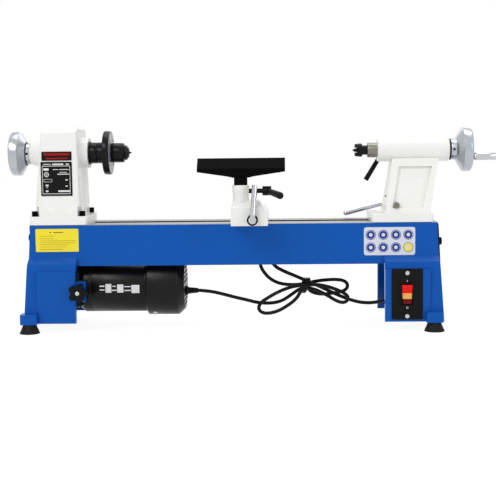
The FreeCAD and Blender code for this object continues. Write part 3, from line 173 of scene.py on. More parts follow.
def uneven(tree, shader, base, colour, gloss=None, relief=None, place=None):
    """Lets colour, gloss and height drift over a surface, in clouds as wide as a real size in metres.

    colour is (width, detail, spread), gloss is (width, detail, smoothest, dullest)
    and relief is (width, detail, height, strength).
    """
    place = place or add(tree, "ShaderNodeTexCoord").outputs["Object"]
    clouds = [drift and add(tree, "ShaderNodeTexNoise", {
        "Vector": place, "Scale": 1 / drift[0], "Detail": drift[1]}).outputs["Fac"]
        for drift in (colour, gloss, relief)]
    dark, light = tones(base, colour[2])
    drifting = add(tree, "ShaderNodeMix", {0: clouds[0], 6: dark, 7: light}, shader.inputs["Base Color"], 2,
                   data_type="RGBA").outputs[2]
    if gloss:
        add(tree, "ShaderNodeMapRange", {"Value": clouds[1], "From Min": 0.3, "From Max": 0.7,
                                         "To Min": gloss[2], "To Max": gloss[3]}, shader.inputs["Roughness"])
    if relief:
        add(tree, "ShaderNodeBump", {"Height": clouds[2], "Distance": relief[2], "Strength": relief[3]},
            shader.inputs["Normal"])
    return drifting


def enamel(name, base):
    """Gloss enamel sprayed on cast iron: a deep even gloss, with an orange peel of 6 mm lumps."""
    made, tree, shader = surface(name, base, 0.0, 0.22, **{
        "IOR": 1.5, "Specular IOR Level": 0.35, "Coat Weight": 0.1, "Coat Roughness": 0.06})
    uneven(tree, shader, base, (0.09, 3, 0.035), (0.03, 2, 0.19, 0.3), (0.006, 2, 0.00012, 0.3))
    return made


def ground_enamel(name, base):
    """Enamelled bed casting whose top is left bare and ground: bright iron with long fine scratches.

    The scratches are about 1 mm apart, coarser than a grinding wheel's, because finer ones would not show.
    The walls of the slot get painted shade: they are coloured near black, as the slot lies in shadow.
    """
    made, tree, shader = surface(name, base, 0.0, 0.22, **{"IOR": 1.5, "Specular IOR Level": 0.16})
    place = add(tree, "ShaderNodeTexCoord").outputs["Object"]
    _, across, height = add(tree, "ShaderNodeSeparateXYZ", {0: place}).outputs
    normal = add(tree, "ShaderNodeNewGeometry").outputs["True Normal"]
    facing = add(tree, "ShaderNodeSeparateXYZ", {0: normal}).outputs[2]
    high = add(tree, "ShaderNodeMath", {0: height, 1: BED.z - 0.0015}, operation="GREATER_THAN").outputs[0]
    flat = add(tree, "ShaderNodeMath", {0: facing, 1: 0.5}, operation="GREATER_THAN").outputs[0]
    bare = add(tree, "ShaderNodeMath", {0: high, 1: flat}, shader.inputs["Metallic"],
               operation="MULTIPLY").outputs[0]
    drawn = add(tree, "ShaderNodeVectorMath", {0: place, 1: (12, 900, 900)}, operation="MULTIPLY").outputs[0]
    scratch = add(tree, "ShaderNodeTexNoise", {"Vector": drawn, "Scale": 1, "Detail": 3}).outputs["Fac"]
    iron = add(tree, "ShaderNodeMix", {
        0: scratch, 6: (*linear("#767675"), 1), 7: (*linear("#979795"), 1)}, data_type="RGBA").outputs[2]
    # Painted shade: faces in the slot, down to 50 mm under the top, are coloured near black where the slot
    # lies in shadow.
    inner = add(tree, "ShaderNodeMath", {0: across, 1: BED.y, 2: SLOT_REACH}, operation="COMPARE").outputs[0]
    upper = add(tree, "ShaderNodeMath", {0: height, 1: BED.z - 0.05}, operation="GREATER_THAN").outputs[0]
    slot_shade = add(tree, "ShaderNodeMath", {0: inner, 1: upper}, operation="MULTIPLY").outputs[0]
    paint = uneven(tree, shader, base, (0.09, 3, 0.035))
    paint_or_slot_shade = add(tree, "ShaderNodeMix", {0: slot_shade, 6: paint, 7: (*linear("#1D1D1E"), 1)},
                  data_type="RGBA").outputs[2]
    add(tree, "ShaderNodeMix", {0: bare, 6: paint_or_slot_shade, 7: iron}, shader.inputs["Base Color"], 2,
        data_type="RGBA")
    sheen, peel = (add(tree, "ShaderNodeTexNoise", {
        "Vector": place, "Scale": 1 / width, "Detail": 2}).outputs["Fac"] for width in (0.03, 0.006))
    gloss = add(tree, "ShaderNodeMapRange", {"Value": sheen, "To Min": 0.17, "To Max": 0.29}).outputs[0]
    worn = add(tree, "ShaderNodeMapRange", {"Value": scratch, "To Min": 0.24, "To Max": 0.42}).outputs[0]
    add(tree, "ShaderNodeMix", {0: bare, 2: gloss, 3: worn}, shader.inputs["Roughness"], data_type="FLOAT")
    relief = add(tree, "ShaderNodeMix", {0: bare, 2: peel, 3: scratch}, data_type="FLOAT").outputs[0]
    add(tree, "ShaderNodeBump", {"Height": relief, "Distance": 0.00015, "Strength": 0.45},
        shader.inputs["Normal"])
    return made


def powder_coat(name, base, roughness=0.34, lump=0.0016, gloss=0.12):
    """Satin coat baked on steel or iron: a skin of lumps about 2 mm wide, which softens every highlight."""
    made, tree, shader = surface(name, base, 0.0, roughness, **{"IOR": 1.5, "Specular IOR Level": gloss})
    uneven(tree, shader, base, (0.05, 2, 0.12), (0.018, 2, roughness - 0.05, roughness + 0.07),
           (lump, 3, 0.00012, 0.55))
    return made


def lathe_turned(name, base, roughness, centre, pitch=0.0009, metallic=1.0, depth=0.00003, **sockets):
    """Metal turned about an X axis: tool rings round its faces and along its length.

    A real feed of 0.1 to 0.2 mm would not show, so the rings are about 1 mm apart.
    """
    made, tree, shader = surface(name, base, metallic, roughness, **sockets)
    place = add(tree, "ShaderNodeTexCoord").outputs["Object"]
    place = add(tree, "ShaderNodeVectorMath", {0: place, 1: centre}, operation="SUBTRACT").outputs[0]
    faces = {"wave_type": "RINGS", "rings_direction": "X"}
    lengths = {"wave_type": "BANDS", "bands_direction": "X"}
    rings, bands = (add(tree, "ShaderNodeTexWave", {
        "Vector": place, "Scale": wave_scale(pitch), "Distortion": 0.6, "Detail": 1.0}, **way).outputs["Fac"]
        for way in (faces, lengths))
    cuts = add(tree, "ShaderNodeMath", {0: rings, 1: bands}, operation="ADD").outputs[0]
    uneven(tree, shader, base, (0.02, 3, 0.08), (0.006, 3, roughness * 0.85, roughness * 1.25))
    add(tree, "ShaderNodeBump", {"Height": cuts, "Distance": depth, "Strength": 0.6}, shader.inputs["Normal"])
    return made


def faced_and_highlit_oxide(name, base, bright, roughness, centre):
    """Blackened steel whose faces towards +X show grey with fine rings: skimmed on the faceplate, a painted
    highlight on the cup centre.

    A real skimming cut would not show, so its rings are 1.2 mm apart.
    """
    made, tree, shader = surface(name, base, 0.0, roughness, **{"Specular IOR Level": 0.16})
    place = add(tree, "ShaderNodeTexCoord").outputs["Object"]
    place = add(tree, "ShaderNodeVectorMath", {0: place, 1: centre}, operation="SUBTRACT").outputs[0]
    rings = add(tree, "ShaderNodeTexWave", {"Vector": place, "Scale": wave_scale(0.0012), "Distortion": 0.5},
                wave_type="RINGS", rings_direction="X").outputs["Fac"]
    # The grey on faces towards +X is a skimmed face on the faceplate and a painted highlight on the cup
    # centre's rim.
    normal = add(tree, "ShaderNodeNewGeometry").outputs["True Normal"]
    facing = add(tree, "ShaderNodeSeparateXYZ", {0: normal}).outputs[0]
    face = add(tree, "ShaderNodeMath", {0: facing, 1: 0.9}, operation="GREATER_THAN").outputs[0]
    black = uneven(tree, shader, base, (0.02, 3, 0.1), (0.006, 3, roughness * 0.85, roughness * 1.25))
    add(tree, "ShaderNodeMix", {0: face, 6: black, 7: (*bright, 1)}, shader.inputs["Base Color"], 2,
        data_type="RGBA")
    add(tree, "ShaderNodeBump", {"Height": rings, "Distance": 0.00003, "Strength": 0.6},
        shader.inputs["Normal"])
    return made


def drawn_steel(name, base, roughness, streaks):
    """Bright drawn or milled steel: streaks along the bar, so many to the metre along each axis.

    They are 2 or 3 mm wide, because real ones would not show.
    """
    made, tree, shader = surface(name, base, 1.0, roughness)
    place = add(tree, "ShaderNodeTexCoord").outputs["Object"]
    place = add(tree, "ShaderNodeVectorMath", {0: place, 1: streaks}, operation="MULTIPLY").outputs[0]
    uneven(tree, shader, base, (1.0, 3, 0.1), (1.0, 3, roughness * 0.8, roughness * 1.3),
           (1.0, 3, 0.00003, 0.4), place)
    return made


def plated(name, base, roughness=0.07):
    """Polished chrome plate over cast steel: mirror bright, with the slow 14 mm waves of hand polishing."""
    made, tree, shader = surface(name, base, 1.0, roughness)
    uneven(tree, shader, base, (0.012, 2, 0.04), (0.009, 3, roughness * 0.7, roughness * 1.8),
           (0.014, 2, 0.00025, 0.35))
    return made


def moulded(name, base, roughness=0.42, lump=0.0011, **sockets):
    """Injection-moulded plastic with a spark-eroded grain about 1 mm wide: an even, slightly waxy sheen."""
    made, tree, shader = surface(name, base, 0.0, roughness, **{
        "IOR": 1.5, "Specular IOR Level": 0.13, **sockets})
    uneven(tree, shader, base, (0.02, 2, 0.06), (0.008, 2, roughness - 0.05, roughness + 0.08),
           (lump, 3, 0.0001, 0.5))
    return made


def cured_rubber(name, base):
    """Moulded rubber: dull, with a chalky bloom that drifts each 10 mm."""
    made, tree, shader = surface(name, base, 0.0, 0.7, **{"IOR": 1.52, "Specular IOR Level": 0.2})
    uneven(tree, shader, base, (0.01, 4, 0.35), (0.006, 2, 0.6, 0.85), (0.0018, 3, 0.0002, 0.6))
    return made


def extruded_jacket(name, base):
    """PVC cord jacket: soft gloss with faint marks, 1.5 mm long, from the die."""
    made, tree, shader = surface(name, base, 0.0, 0.36, **{"IOR": 1.53, "Specular IOR Level": 0.15})
    uneven(tree, shader, base, (0.015, 2, 0.2), (0.01, 2, 0.3, 0.46), (0.0015, 2, 0.00012, 0.5))
    return made


def printed_film(name, base, roughness=0.3):
    """Printed polyester film or ink: flat colour under a thin clear layer that lies almost flat."""
    made, tree, shader = surface(name, base, 0.0, roughness, **{"IOR": 1.5, "Specular IOR Level": 0.15})
    uneven(tree, shader, base, (0.03, 2, 0.025), relief=(0.008, 2, 0.00008, 0.4))
    return made


def layered(name, base, metallic, roughness, spacing, bend, way, spread, height, strength):
    """Metal in close layers across one axis, darker and lower between one layer and the next."""
    made, tree, shader = surface(name, base, metallic, roughness)
    place = add(tree, "ShaderNodeTexCoord").outputs["Object"]
    layers = add(tree, "ShaderNodeTexWave", {
        "Vector": place, "Scale": wave_scale(spacing), "Distortion": bend},
        wave_type="BANDS", bands_direction=way).outputs["Fac"]
    dark, light = tones(base, spread)
    add(tree, "ShaderNodeMix", {0: layers, 6: dark, 7: light}, shader.inputs["Base Color"], 2,
        data_type="RGBA")
    add(tree, "ShaderNodeBump", {"Height": layers, "Distance": height, "Strength": strength},
        shader.inputs["Normal"])
    return made


def wave_scale(spacing):
    """The scale at which a wave texture repeats once in a real spacing."""
    return math.pi / 10 / spacing


def make_finishes():
    """Every material of the lathe, by the name of its finish."""
    c = colours()
    spindle_axis = (0, BED.y, BED.z + CENTRE_HEIGHT)
    motor_axis = (0, BED.y, BED.z - 0.115)
    steel, bright = linear("#858379"), linear("#B4B8BE")
    return {
        "bed": ground_enamel("Gloss enamel on cast iron, ground ways", c.bed),
        "head": enamel("Gloss enamel on cast iron", c.head),
        "trim": powder_coat("Powder-coated steel", c.trim, 0.3, gloss=0.2),
        "oxide": lathe_turned("Black-oxide steel, turned", c.oxide, 0.19, spindle_axis, metallic=0.0,
                              **{"Specular IOR Level": 0.16}),
        "faced_and_highlit": faced_and_highlit_oxide("Black-oxide steel, faced", c.oxide, linear("#8C8C94"), 0.2, spindle_axis),
        "oxide_cast": powder_coat("Black-oxide cast iron", c.oxide, 0.42, 0.0022, 0.015),
        "oxide_bolt": drawn_steel("Black-oxide alloy steel", c.oxide, 0.36, (60, 60, 300)),
        "turned": lathe_turned("Carbon steel, turned and ground", steel, 0.24, spindle_axis),
        "motor_turned": lathe_turned("Carbon steel, turned", steel, 0.26, motor_axis),
        "aluminium": lathe_turned("Cast aluminium, turned and polished", bright, 0.2, spindle_axis, 0.0016,
                                  depth=0.00005),
        "motor_aluminium": lathe_turned("Cast aluminium, turned", bright, 0.26, motor_axis),
        "chrome": plated("Chrome plate, polished", linear("#C2C4C8")),
        "zinc": drawn_steel("Zinc-plated steel", linear("#C4C6C8"), 0.3, (500, 60, 500)),
        "milled": drawn_steel("Carbon steel, milled", steel, 0.32, (30, 500, 500)),
        "iron": powder_coat("Cast iron, oiled", linear("#4A4A4C"), 0.45, 0.0018),
        "plastic": moulded("ABS, moulded", c.plastic),
        "nylon": moulded("Glass-filled nylon, moulded", c.plastic, 0.5, 0.0008),
        "rocker": moulded("Polycarbonate, moulded and polished", c.rocker, 0.16, 0.004,
                          **{"Coat Weight": 0.1}),
        "rocker_shade": moulded("Polycarbonate, moulded, in shade", linear("#6E0B0A"), 0.2, 0.004),
        # Painted highlight: the pale band across the rocker.
        "window": moulded("Polycarbonate, painted highlight", c.window, 0.18, 0.004),
        "rubber": cured_rubber("Rubber, moulded", c.rubber),
        "belt": cured_rubber("Rubber belt", c.rubber),
        "jacket": extruded_jacket("PVC, extruded", c.jacket),
        "caution": printed_film("Polyester film, yellow", c.caution),
        "film": printed_film("Polyester film, pale", c.film),
        "plate": printed_film("Anodised aluminium plate, black", c.trim, 0.35),
        "disc": printed_film("Printing ink, blue", c.disc),
        "title": printed_film("Printing ink, red", c.title),
        "ink": printed_film("Printing ink, white", linear("#E4E4E2")),
        "brown": printed_film("Printing ink, brown", linear("#8A6A2A")),
        # Varnished wire laid in close turns 1.2 mm apart, which glints in wavy rows.
        "copper": layered("Copper wire, varnished", linear("#B0653A"), 0.9, 0.32, 0.0012, 1.5, "Z", 0.25,
                          0.0003, 0.8),
        # Punched sheets half a millimetre thick, drawn 1 mm thick so that their edges show as fine lines.
        "sheets": layered("Electrical steel, stacked", linear("#8E8F92"), 1.0, 0.4, 0.001, 0.0, "X", 0.2,
                          0.0001, 0.6),
    }


FINISH = {}
"""The materials by finish, filled by the finishes operator."""
CAST = ("bed_casting", "headstock_casting", "tailstock_casting", "banjo_casting", "motor_end_bells")
"""Castings, whose edges are rounder than those of machined parts."""
NODE_FINISH = {
    "bed": ["bed_casting"],
    "head": ["headstock_casting", "headstock_door", "tailstock_casting", "banjo_casting"],
    "trim": ["belt_cover", "end_cover", "motor_plate", "motor_housing", "motor_end_bells", "fan_cover"],
    "oxide": ["nose_collar", "live_centre_body", "spur_centre", "thrust_ring"],
    "faced_and_highlit": ["faceplate", "cup_centre"],
    "oxide_cast": ["tool_rest", "tool_rest_stem"],
    "oxide_bolt": ["headstock_fasteners", "spindle_wheel_screw", "tailstock_wheel_screw"],
    "turned": ["spindle", "quill", "leadscrew", "spindle_bearings"],
    "motor_turned": ["motor_shaft", "motor_bearings"],
    "aluminium": ["spindle_handwheel", "tailstock_handwheel", "spindle_pulley"],
    "motor_aluminium": ["motor_pulley"],
    "chrome": ["tailstock_cam", "banjo_cam", "crank_handle"],
    "zinc": ["foot_screws", "motor_bolts", "switch_screws", "crank_bolt"],
    "milled": ["tailstock_clamp", "banjo_clamp"],
    "iron": ["banjo_block"],
    "plastic": ["cover_knobs", "motor_lock_knob", "switch_plate", "switch_housing", "quill_lock_lever",
                "rest_lock_lever"],
    "nylon": ["cable_glands", "cord_clip", "motor_fan"],
    "rocker": ["rocker_switch"],
    "rubber": ["rubber_feet"],
    "belt": ["drive_belt"],
    "jacket": ["motor_lead", "switch_lead", "cord_hank"],
    "film": ["label_plates"],
    "copper": ["stator"],
    "sheets": ["rotor"],
}
"""The CAD parts that have each finish."""


# ---------------------------------------------------------------- mesh helpers
def piece(name, shape, body, finish, slot, *replaced):
    """Makes an object of a finished bmesh, smooth but for its sharp edges, and rides it on a body."""
    mesh = bpy.data.meshes.new(name)
    bmesh.ops.recalc_face_normals(shape, faces=shape.faces)
    shape.to_mesh(mesh)
    shape.free()
    mesh.polygons.foreach_set("use_smooth", [True] * len(mesh.polygons))
    mesh.set_sharp_from_angle(angle=math.radians(35))
    item = bpy.data.objects.new(name, mesh)
    bpy.context.scene.collection.objects.link(item)
    mesh.materials.append(FINISH[finish])
    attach(item, body)
    if replaced:
        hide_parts(*replaced)
    return item


def eased(outline, size, steps=3):
    """The closed outline with every corner rounded by up to size."""
    result = []
    for i, place in enumerate(outline):
        corner = Vector(place)
        before = Vector(outline[i - 1]) - corner
        after = Vector(outline[(i + 1) % len(outline)]) - corner
        reach = min(size, before.length * 0.45, after.length * 0.45)
        start, end = corner + before.normalized() * reach, corner + after.normalized() * reach
        for k in range(steps + 1):
            t = k / steps
            result.append(start * (1 - t) ** 2 + corner * 2 * t * (1 - t) + end * t ** 2)
    return result


def axes(direction):
    """A direction and two across it, each one unit long."""
    along = Vector(direction).normalized()
    side = along.cross(Vector((0, 0, 1)) if abs(along.z) < 0.9 else Vector((1, 0, 0))).normalized()
    return along, side, along.cross(side)


def turned(shape, outline, centre, direction, steps=None):
    """Spins an outline of (along, radius) items about an axis; a third item waves the radius by angle.

    An outline that doesn't start and end on the axis is closed to a ring.
    """
    steps = steps or sizes().steps
    along, side, up = axes(direction)
    rings = []
    for distance, radius, *waves in outline:
        if radius < 1e-6:
            rings.append([shape.verts.new(centre + along * distance)])
            continue
        ring = []
        for k in range(steps):
            angle = 2 * math.pi * k / steps
            size = radius * (waves[0](angle) if waves else 1)
            ring.append(shape.verts.new(centre + along * distance
                                        + (side * math.cos(angle) + up * math.sin(angle)) * size))
        rings.append(ring)
    pairs = list(zip(rings, rings[1:]))
    if len(rings[0]) > 1 and len(rings[-1]) > 1:
        pairs.append((rings[-1], rings[0]))
    for first, second in pairs:
        for k in range(steps):
            n = (k + 1) % steps
            corners = list(dict.fromkeys(ring[i % len(ring)] for ring, i in (
                (first, k), (first, n), (second, n), (second, k))))
            if len(corners) > 2:
                shape.faces.new(corners)


def rounded(shape, size, segments=3, angle=30.0):
    """Rounds every edge that is sharper than the angle."""
    sharp = [e for e in shape.edges if e.calc_face_angle(0) > math.radians(angle)]
    bmesh.ops.bevel(shape, geom=sharp, offset=size, segments=segments, profile=0.5, affect="EDGES",
                    clamp_overlap=True)
    return shape


def extruded(outline, origin, across, up, depth, shape=None):
    """A closed outline of (across, up) pairs, pushed along the direction square to both."""
    shape = shape or bmesh.new()
    across, up = Vector(across).normalized(), Vector(up).normalized()
    through = across.cross(up) * depth
    near = [shape.verts.new(Vector(origin) + across * a + up * b) for a, b in outline]
    far = [shape.verts.new(v.co + through) for v in near]
    shape.faces.new(near)
    shape.faces.new(far[::-1])
    for i, vertex in enumerate(near):
        n = (i + 1) % len(near)
        shape.faces.new([vertex, far[i], far[n], near[n]])
    return shape


def loose_boxes(node):
    """The corners of each separate solid of a CAD node, from left to right."""
    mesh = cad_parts[node].data
    shape = bmesh.new()
    shape.from_mesh(mesh)
    bmesh.ops.remove_doubles(shape, verts=shape.verts, dist=1e-6)
    left = set(shape.verts)
    found = []
    while left:
        group, queue = [], [left.pop()]
        while queue:
            vertex = queue.pop()
            group.append(vertex.co.copy())
            for edge in vertex.link_edges:
                other = edge.other_vert(vertex)
                if other in left:
                    left.remove(other)
                    queue.append(other)
        found.append((Vector(min(v[i] for v in group) for i in range(3)),
                      Vector(max(v[i] for v in group) for i in range(3))))
    shape.free()
    return sorted(found, key=lambda pair: (round(pair[0].x, 4), pair[0].z, pair[0].y))


def middle(low, high):
    """The point halfway between two corners."""
    return (low + high) / 2


def ease_node(name, size):
    """Rounds a CAD node's sharp edges with modifiers, which leave its mesh as it is."""
    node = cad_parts[name]
    weld = node.modifiers.new("Weld", "WELD")
    weld.merge_threshold = 1e-6
    bevel = node.modifiers.new("Edges", "BEVEL")
    bevel.width = size
    bevel.segments = 2
    bevel.limit_method = "ANGLE"
    bevel.angle_limit = math.radians(38)
    bevel.use_clamp_overlap = True
    bevel.harden_normals = True
    bevel.miter_outer = "MITER_ARC"


def bed_point(x, y, z):
    """A point given from the middle of the bed's top, in the frame."""
    return BED + Vector((x, y, z))


# ---------------------------------------------------------------- camera and cord
class LATHE_OT_camera(Operator):
    """Places the camera before the operator's side, a little to the right and above the bed"""
    bl_idname = "lathe.camera"
    bl_label = "Camera"

    def execute(self, context):
        # Angles in radians to the left, down and round the line of sight, and the place in metres.
        turn, pitch, roll = 0.0299, 0.097, 0.0114
        stand = (0.0488, -1.9235, 0.343)
        lens = bpy.data.cameras.new("Camera")
        lens.sensor_width, lens.lens = 36.0, 78.7
        item = bpy.data.objects.new("Camera", lens)
        context.scene.collection.objects.link(item)
        ahead = Vector((-math.sin(turn) * math.cos(pitch), math.cos(turn) * math.cos(pitch),
                        -math.sin(pitch)))
        level = Vector((math.cos(turn), math.sin(turn), 0))
        upright = level.cross(ahead)
        right = level * math.cos(roll) - upright * math.sin(roll)
        over = upright * math.cos(roll) + level * math.sin(roll)
        item.matrix_world = Matrix((right, over, -ahead)).transposed().to_4x4()
        item.location = stand
        context.scene.camera = item
        return {"FINISHED"}


# The cord's route in metres from the middle of the bed's top: right, back and up.
MOTOR_LEAD = [
    (-0.066, 0, -0.1255), (-0.045, 0, -0.127), (-0.022, 0.001, -0.1325), (0.002, 0.003, -0.1395),
    (0.022, 0.006, -0.1445), (0.042, 0.009, -0.1505)]
SWITCH_LEAD = [
    (0.208, 0.012, -0.146), (0.229, 0.010, -0.1515), (0.251, 0.008, -0.152), (0.271, 0.005, -0.147),
    (0.288, -0.004, -0.1395), (0.299, -0.019, -0.132), (0.303, -0.038, -0.1295)]
HANK_OUT = [
    (0.066, 0.014, -0.1525), (0.086, 0.018, -0.1490), (0.104, 0.019, -0.1370), (0.118, 0.0186, -0.1265),
    (0.134, 0.0186, -0.1245), (0.150, 0.017, -0.1290), (0.168, 0.014, -0.1380), (0.184, 0.010, -0.1480),
    (0.1970, 0.008, -0.1518), (0.2055, 0.0045, -0.1470), (0.2055, 0.000, -0.1385), (0.1980, -0.002, -0.1318),
    (0.185, -0.001, -0.1258),
    (0.172, 0.002, -0.1215), (0.154, 0.004, -0.1175), (0.138, 0.005, -0.1172), (0.118, 0.005, -0.1185),
    (0.100, 0.002, -0.1215), (0.080, 0.000, -0.1290), (0.062, 0.000, -0.1390), (0.0470, 0.001, -0.1490),
    (0.0425, 0.002, -0.1600), (0.0490, 0.002, -0.1680), (0.062, 0.001, -0.1690), (0.078, 0.000, -0.1650),
    (0.094, -0.001, -0.1560), (0.110, -0.003, -0.1440), (0.1185, -0.0042, -0.1315)]
HANK_BACK = [
    (0.1335, 0.0264, -0.1270), (0.1400, 0.0255, -0.1335), (0.152, 0.024, -0.1372), (0.168, 0.022, -0.1372),
    (0.184, 0.020, -0.1345), (0.1975, 0.018, -0.1318), (0.2055, 0.017, -0.1255), (0.2055, 0.016, -0.1170),
    (0.1975, 0.015, -0.1108), (0.180, 0.015, -0.1092),
    (0.158, 0.016, -0.1110), (0.140, 0.0176, -0.1140), (0.118, 0.0186, -0.1190), (0.096, 0.0186, -0.1190),
    (0.078, 0.018, -0.1155), (0.062, 0.017, -0.1060), (0.0490, 0.016, -0.0895), (0.0450, 0.016, -0.0720),
    (0.0455, 0.015, -0.0600), (0.0515, 0.013, -0.0520), (0.0610, 0.010, -0.0520), (0.0670, 0.008, -0.0600),
    (0.0675, 0.007, -0.0720),
    (0.073, 0.007, -0.0835), (0.090, 0.008, -0.0930), (0.110, 0.010, -0.1015), (0.130, 0.011, -0.1105),
    (0.150, 0.011, -0.1195), (0.168, 0.012, -0.1280), (0.186, 0.013, -0.1370)]


def wrap_turns():
    """The turns that the cord takes round its own strands, close side by side and leaning a little."""
    first, last = 0.1225, 0.1330
    back, up = 0.0115, -0.1195
    half_depth, half_height = 0.0150, 0.0115
    turns, steps, lean, slack = 2.5, 35, 0.3, 0.02
    points = []
    for k in range(steps + 1):
        share = k / steps
        angle = -math.pi / 2 + 2 * math.pi * turns * share
        swell = 1 + slack * math.sin(3 * angle)
        rise = half_height * swell * math.cos(angle)
        points.append((first + (last - first) * share + lean * rise,
                       back + half_depth * swell * math.sin(angle), up + rise))
    return points


class LATHE_OT_cord(Operator):
    """Lays the one cord that runs from the motor through its tied hank to the switch"""
    bl_idname = "lathe.cord"
    bl_label = "Cord"

    def execute(self, context):
        route = [bed_point(*p) for p in MOTOR_LEAD + HANK_OUT + wrap_turns() + HANK_BACK + SWITCH_LEAD]
        curve = bpy.data.curves.new("cord", "CURVE")
        curve.dimensions = "3D"
        curve.bevel_depth = sizes().cord / 2
        curve.bevel_resolution = 6
        curve.resolution_u = 10
        curve.use_fill_caps = True
        line = curve.splines.new("NURBS")
        line.points.add(len(route) - 1)
        for point, place in zip(line.points, route):
            point.co = (*place, 1)
        line.order_u = 3
        line.use_endpoint_u = True
        curve.materials.append(FINISH["jacket"])
        item = bpy.data.objects.new("cord", curve)
        context.scene.collection.objects.link(item)
        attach(item, "frame")
        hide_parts("motor_lead", "cord_hank", "switch_lead")
        return {"FINISHED"}


# ---------------------------------------------------------------- printed plates
def rectangle(low, high, corner):
    """A rectangle's outline between two corners, with its own corners rounded."""
    return eased([low, (high[0], low[1]), high, (low[0], high[1])], corner, steps=5)


def ring_mark(shape, centre, outer, inner, face):
    """A flat printed ring on a face towards the operator."""
    x, z = centre
    profile = [(0, inner), (0, outer), (PRINT_HEIGHT, outer), (PRINT_HEIGHT, inner)]
    turned(shape, profile, Vector((x, face, z)), (0, -1, 0), steps=40)


def marks_on(plate, marks, name, finish):
    """Thin printed bars, given as shares of the plate's width and height from its low left corner."""
    low, high = plate
    shape = bmesh.new()
    for left, bottom, right, top in marks:
        outline = rectangle((low.x + (high.x - low.x) * left, low.z + (high.z - low.z) * bottom),
                            (low.x + (high.x - low.x) * right, low.z + (high.z - low.z) * top), 0.0004)
        extruded(outline, (0, low.y, 0), (1, 0, 0), (0, 0, 1), PRINT_HEIGHT, shape)
    piece(name, shape, "frame", finish, "label_film")


def plate(box, name, finish, corner, *replaced):
    """A thin plate that fills a box, with rounded corners."""
    low, high = box
    shape = extruded(rectangle((low.x, low.z), (high.x, high.z), corner), (0, high.y, 0),
                     (1, 0, 0), (0, 0, 1), high.y - low.y)
    piece(name, shape, "frame", finish, "label_film", *replaced)


class LATHE_OT_headstock_plates(Operator):
    """Black title strip with plain red bands, and the framed data plate, both without any wording"""
    bl_idname = "lathe.headstock_plates"
    bl_label = "Headstock plates"

    def execute(self, context):
        _, data, title, _ = loose_boxes("label_plates")
        plate(title, "title_plate", "plate", 0.0012, "label_plates")
        bands = [(0.08, 0.58, 0.93, 0.84), (0.16, 0.17, 0.86, 0.32)]
        marks_on(title, bands, "title_bands", "title")
        plate(data, "data_plate", "plate", 0.0018)
        frame_line = [(0.045, 0.055, 0.94, 0.072), (0.045, 0.868, 0.94, 0.885),
                      (0.045, 0.055, 0.06, 0.885), (0.925, 0.055, 0.94, 0.885)]
        left_column = [(0.09, 0.745, 0.255, 0.815), (0.09, 0.485, 0.36, 0.495), (0.09, 0.41, 0.36, 0.42),
                       (0.09, 0.41, 0.10, 0.495), (0.35, 0.41, 0.36, 0.495), (0.15, 0.28, 0.24, 0.335),
                       (0.17, 0.235, 0.22, 0.25), (0.15, 0.115, 0.23, 0.165)]
        right_column = [(0.39, 0.765, 0.56, 0.785), (0.59, 0.765, 0.90, 0.785), (0.60, 0.685, 0.84, 0.70),
                        (0.53, 0.625, 0.90, 0.65), (0.78, 0.455, 0.86, 0.485), (0.78, 0.275, 0.86, 0.30)]
        header = [(0.38, 0.905, 0.73, 0.95), (0.08, 0.92, 0.34, 0.94), (0.81, 0.91, 0.91, 0.945),
                  (0.55, 0.115, 0.93, 0.165)]
        marks_on(data, frame_line + left_column + right_column + header, "data_marks", "ink")
        low, high = data
        seal = bmesh.new()
        centre = (low.x + 0.18 * (high.x - low.x), low.z + 0.63 * (high.z - low.z))
        ring_mark(seal, centre, 0.0044, 0.0032, low.y)
        ring_mark(seal, centre, 0.0018, 0.0008, low.y)
        piece("data_ring", seal, "frame", "ink", "label_film")
        return {"FINISHED"}


class LATHE_OT_bed_plates(Operator):
    """Yellow plate with plain ruled lines, and the pale plate with its rows of plain discs"""
    bl_idname = "lathe.bed_plates"
    bl_label = "Bed plates"

    def execute(self, context):
        yellow, _, _, pale = loose_boxes("label_plates")
        plate(yellow, "yellow_plate", "caution", 0.0016)
        lines = [(0.33, 0.82, 0.37, 0.87), (0.42, 0.825, 0.645, 0.865), (0.10, 0.68, 0.47, 0.695),
                 (0.10, 0.565, 0.42, 0.58), (0.10, 0.475, 0.95, 0.49), (0.10, 0.39, 0.92, 0.405),
                 (0.10, 0.305, 0.77, 0.32), (0.10, 0.21, 0.72, 0.222), (0.10, 0.10, 0.63, 0.115)]
        marks_on(yellow, lines, "yellow_plate_lines", "brown")
        plate(pale, "pale_plate", "film", 0.0045)
        low, high = pale
        width, height = high.x - low.x, high.z - low.z
        blue, light, gold, brown = (bmesh.new() for _ in range(4))
        for row in (0.727, 0.276):
            for column in (0.134, 0.378, 0.624, 0.866):
                centre = (low.x + column * width, low.z + row * height)
                last = row < 0.5 and column > 0.8
                ring_mark(brown if last else blue, centre, 0.0088, 0.0078, low.y)
                ring_mark(gold if last else blue, centre, 0.0070, 0.0032, low.y)
                if not last:
                    ring_mark(light, centre, 0.0030, 0.0006, low.y)
        piece("pale_plate_discs", blue, "frame", "disc", "label_film")
        piece("pale_plate_centres", light, "frame", "ink", "label_film")
        piece("pale_plate_last_disc", gold, "frame", "caution", "label_film")
        piece("pale_plate_last_ring", brown, "frame", "brown", "label_film")
        return {"FINISHED"}


# ---------------------------------------------------------------- knobs, screws and small turned parts
HEAD_SIDES = 72
"""Sides of a screw's head."""


def flutes(count, depth):
    """The wave of a knurled rim: flat lands with rounded grooves between them."""
    return lambda angle: 1 - depth * max(0.0, math.cos(count * angle)) ** 3


def hexagon(angle):
    """The distance to a hexagon's side, for a hexagon whose flats are one unit from its centre."""
    return 1 / math.cos((angle + math.pi / 6) % (math.pi / 3) - math.pi / 6)


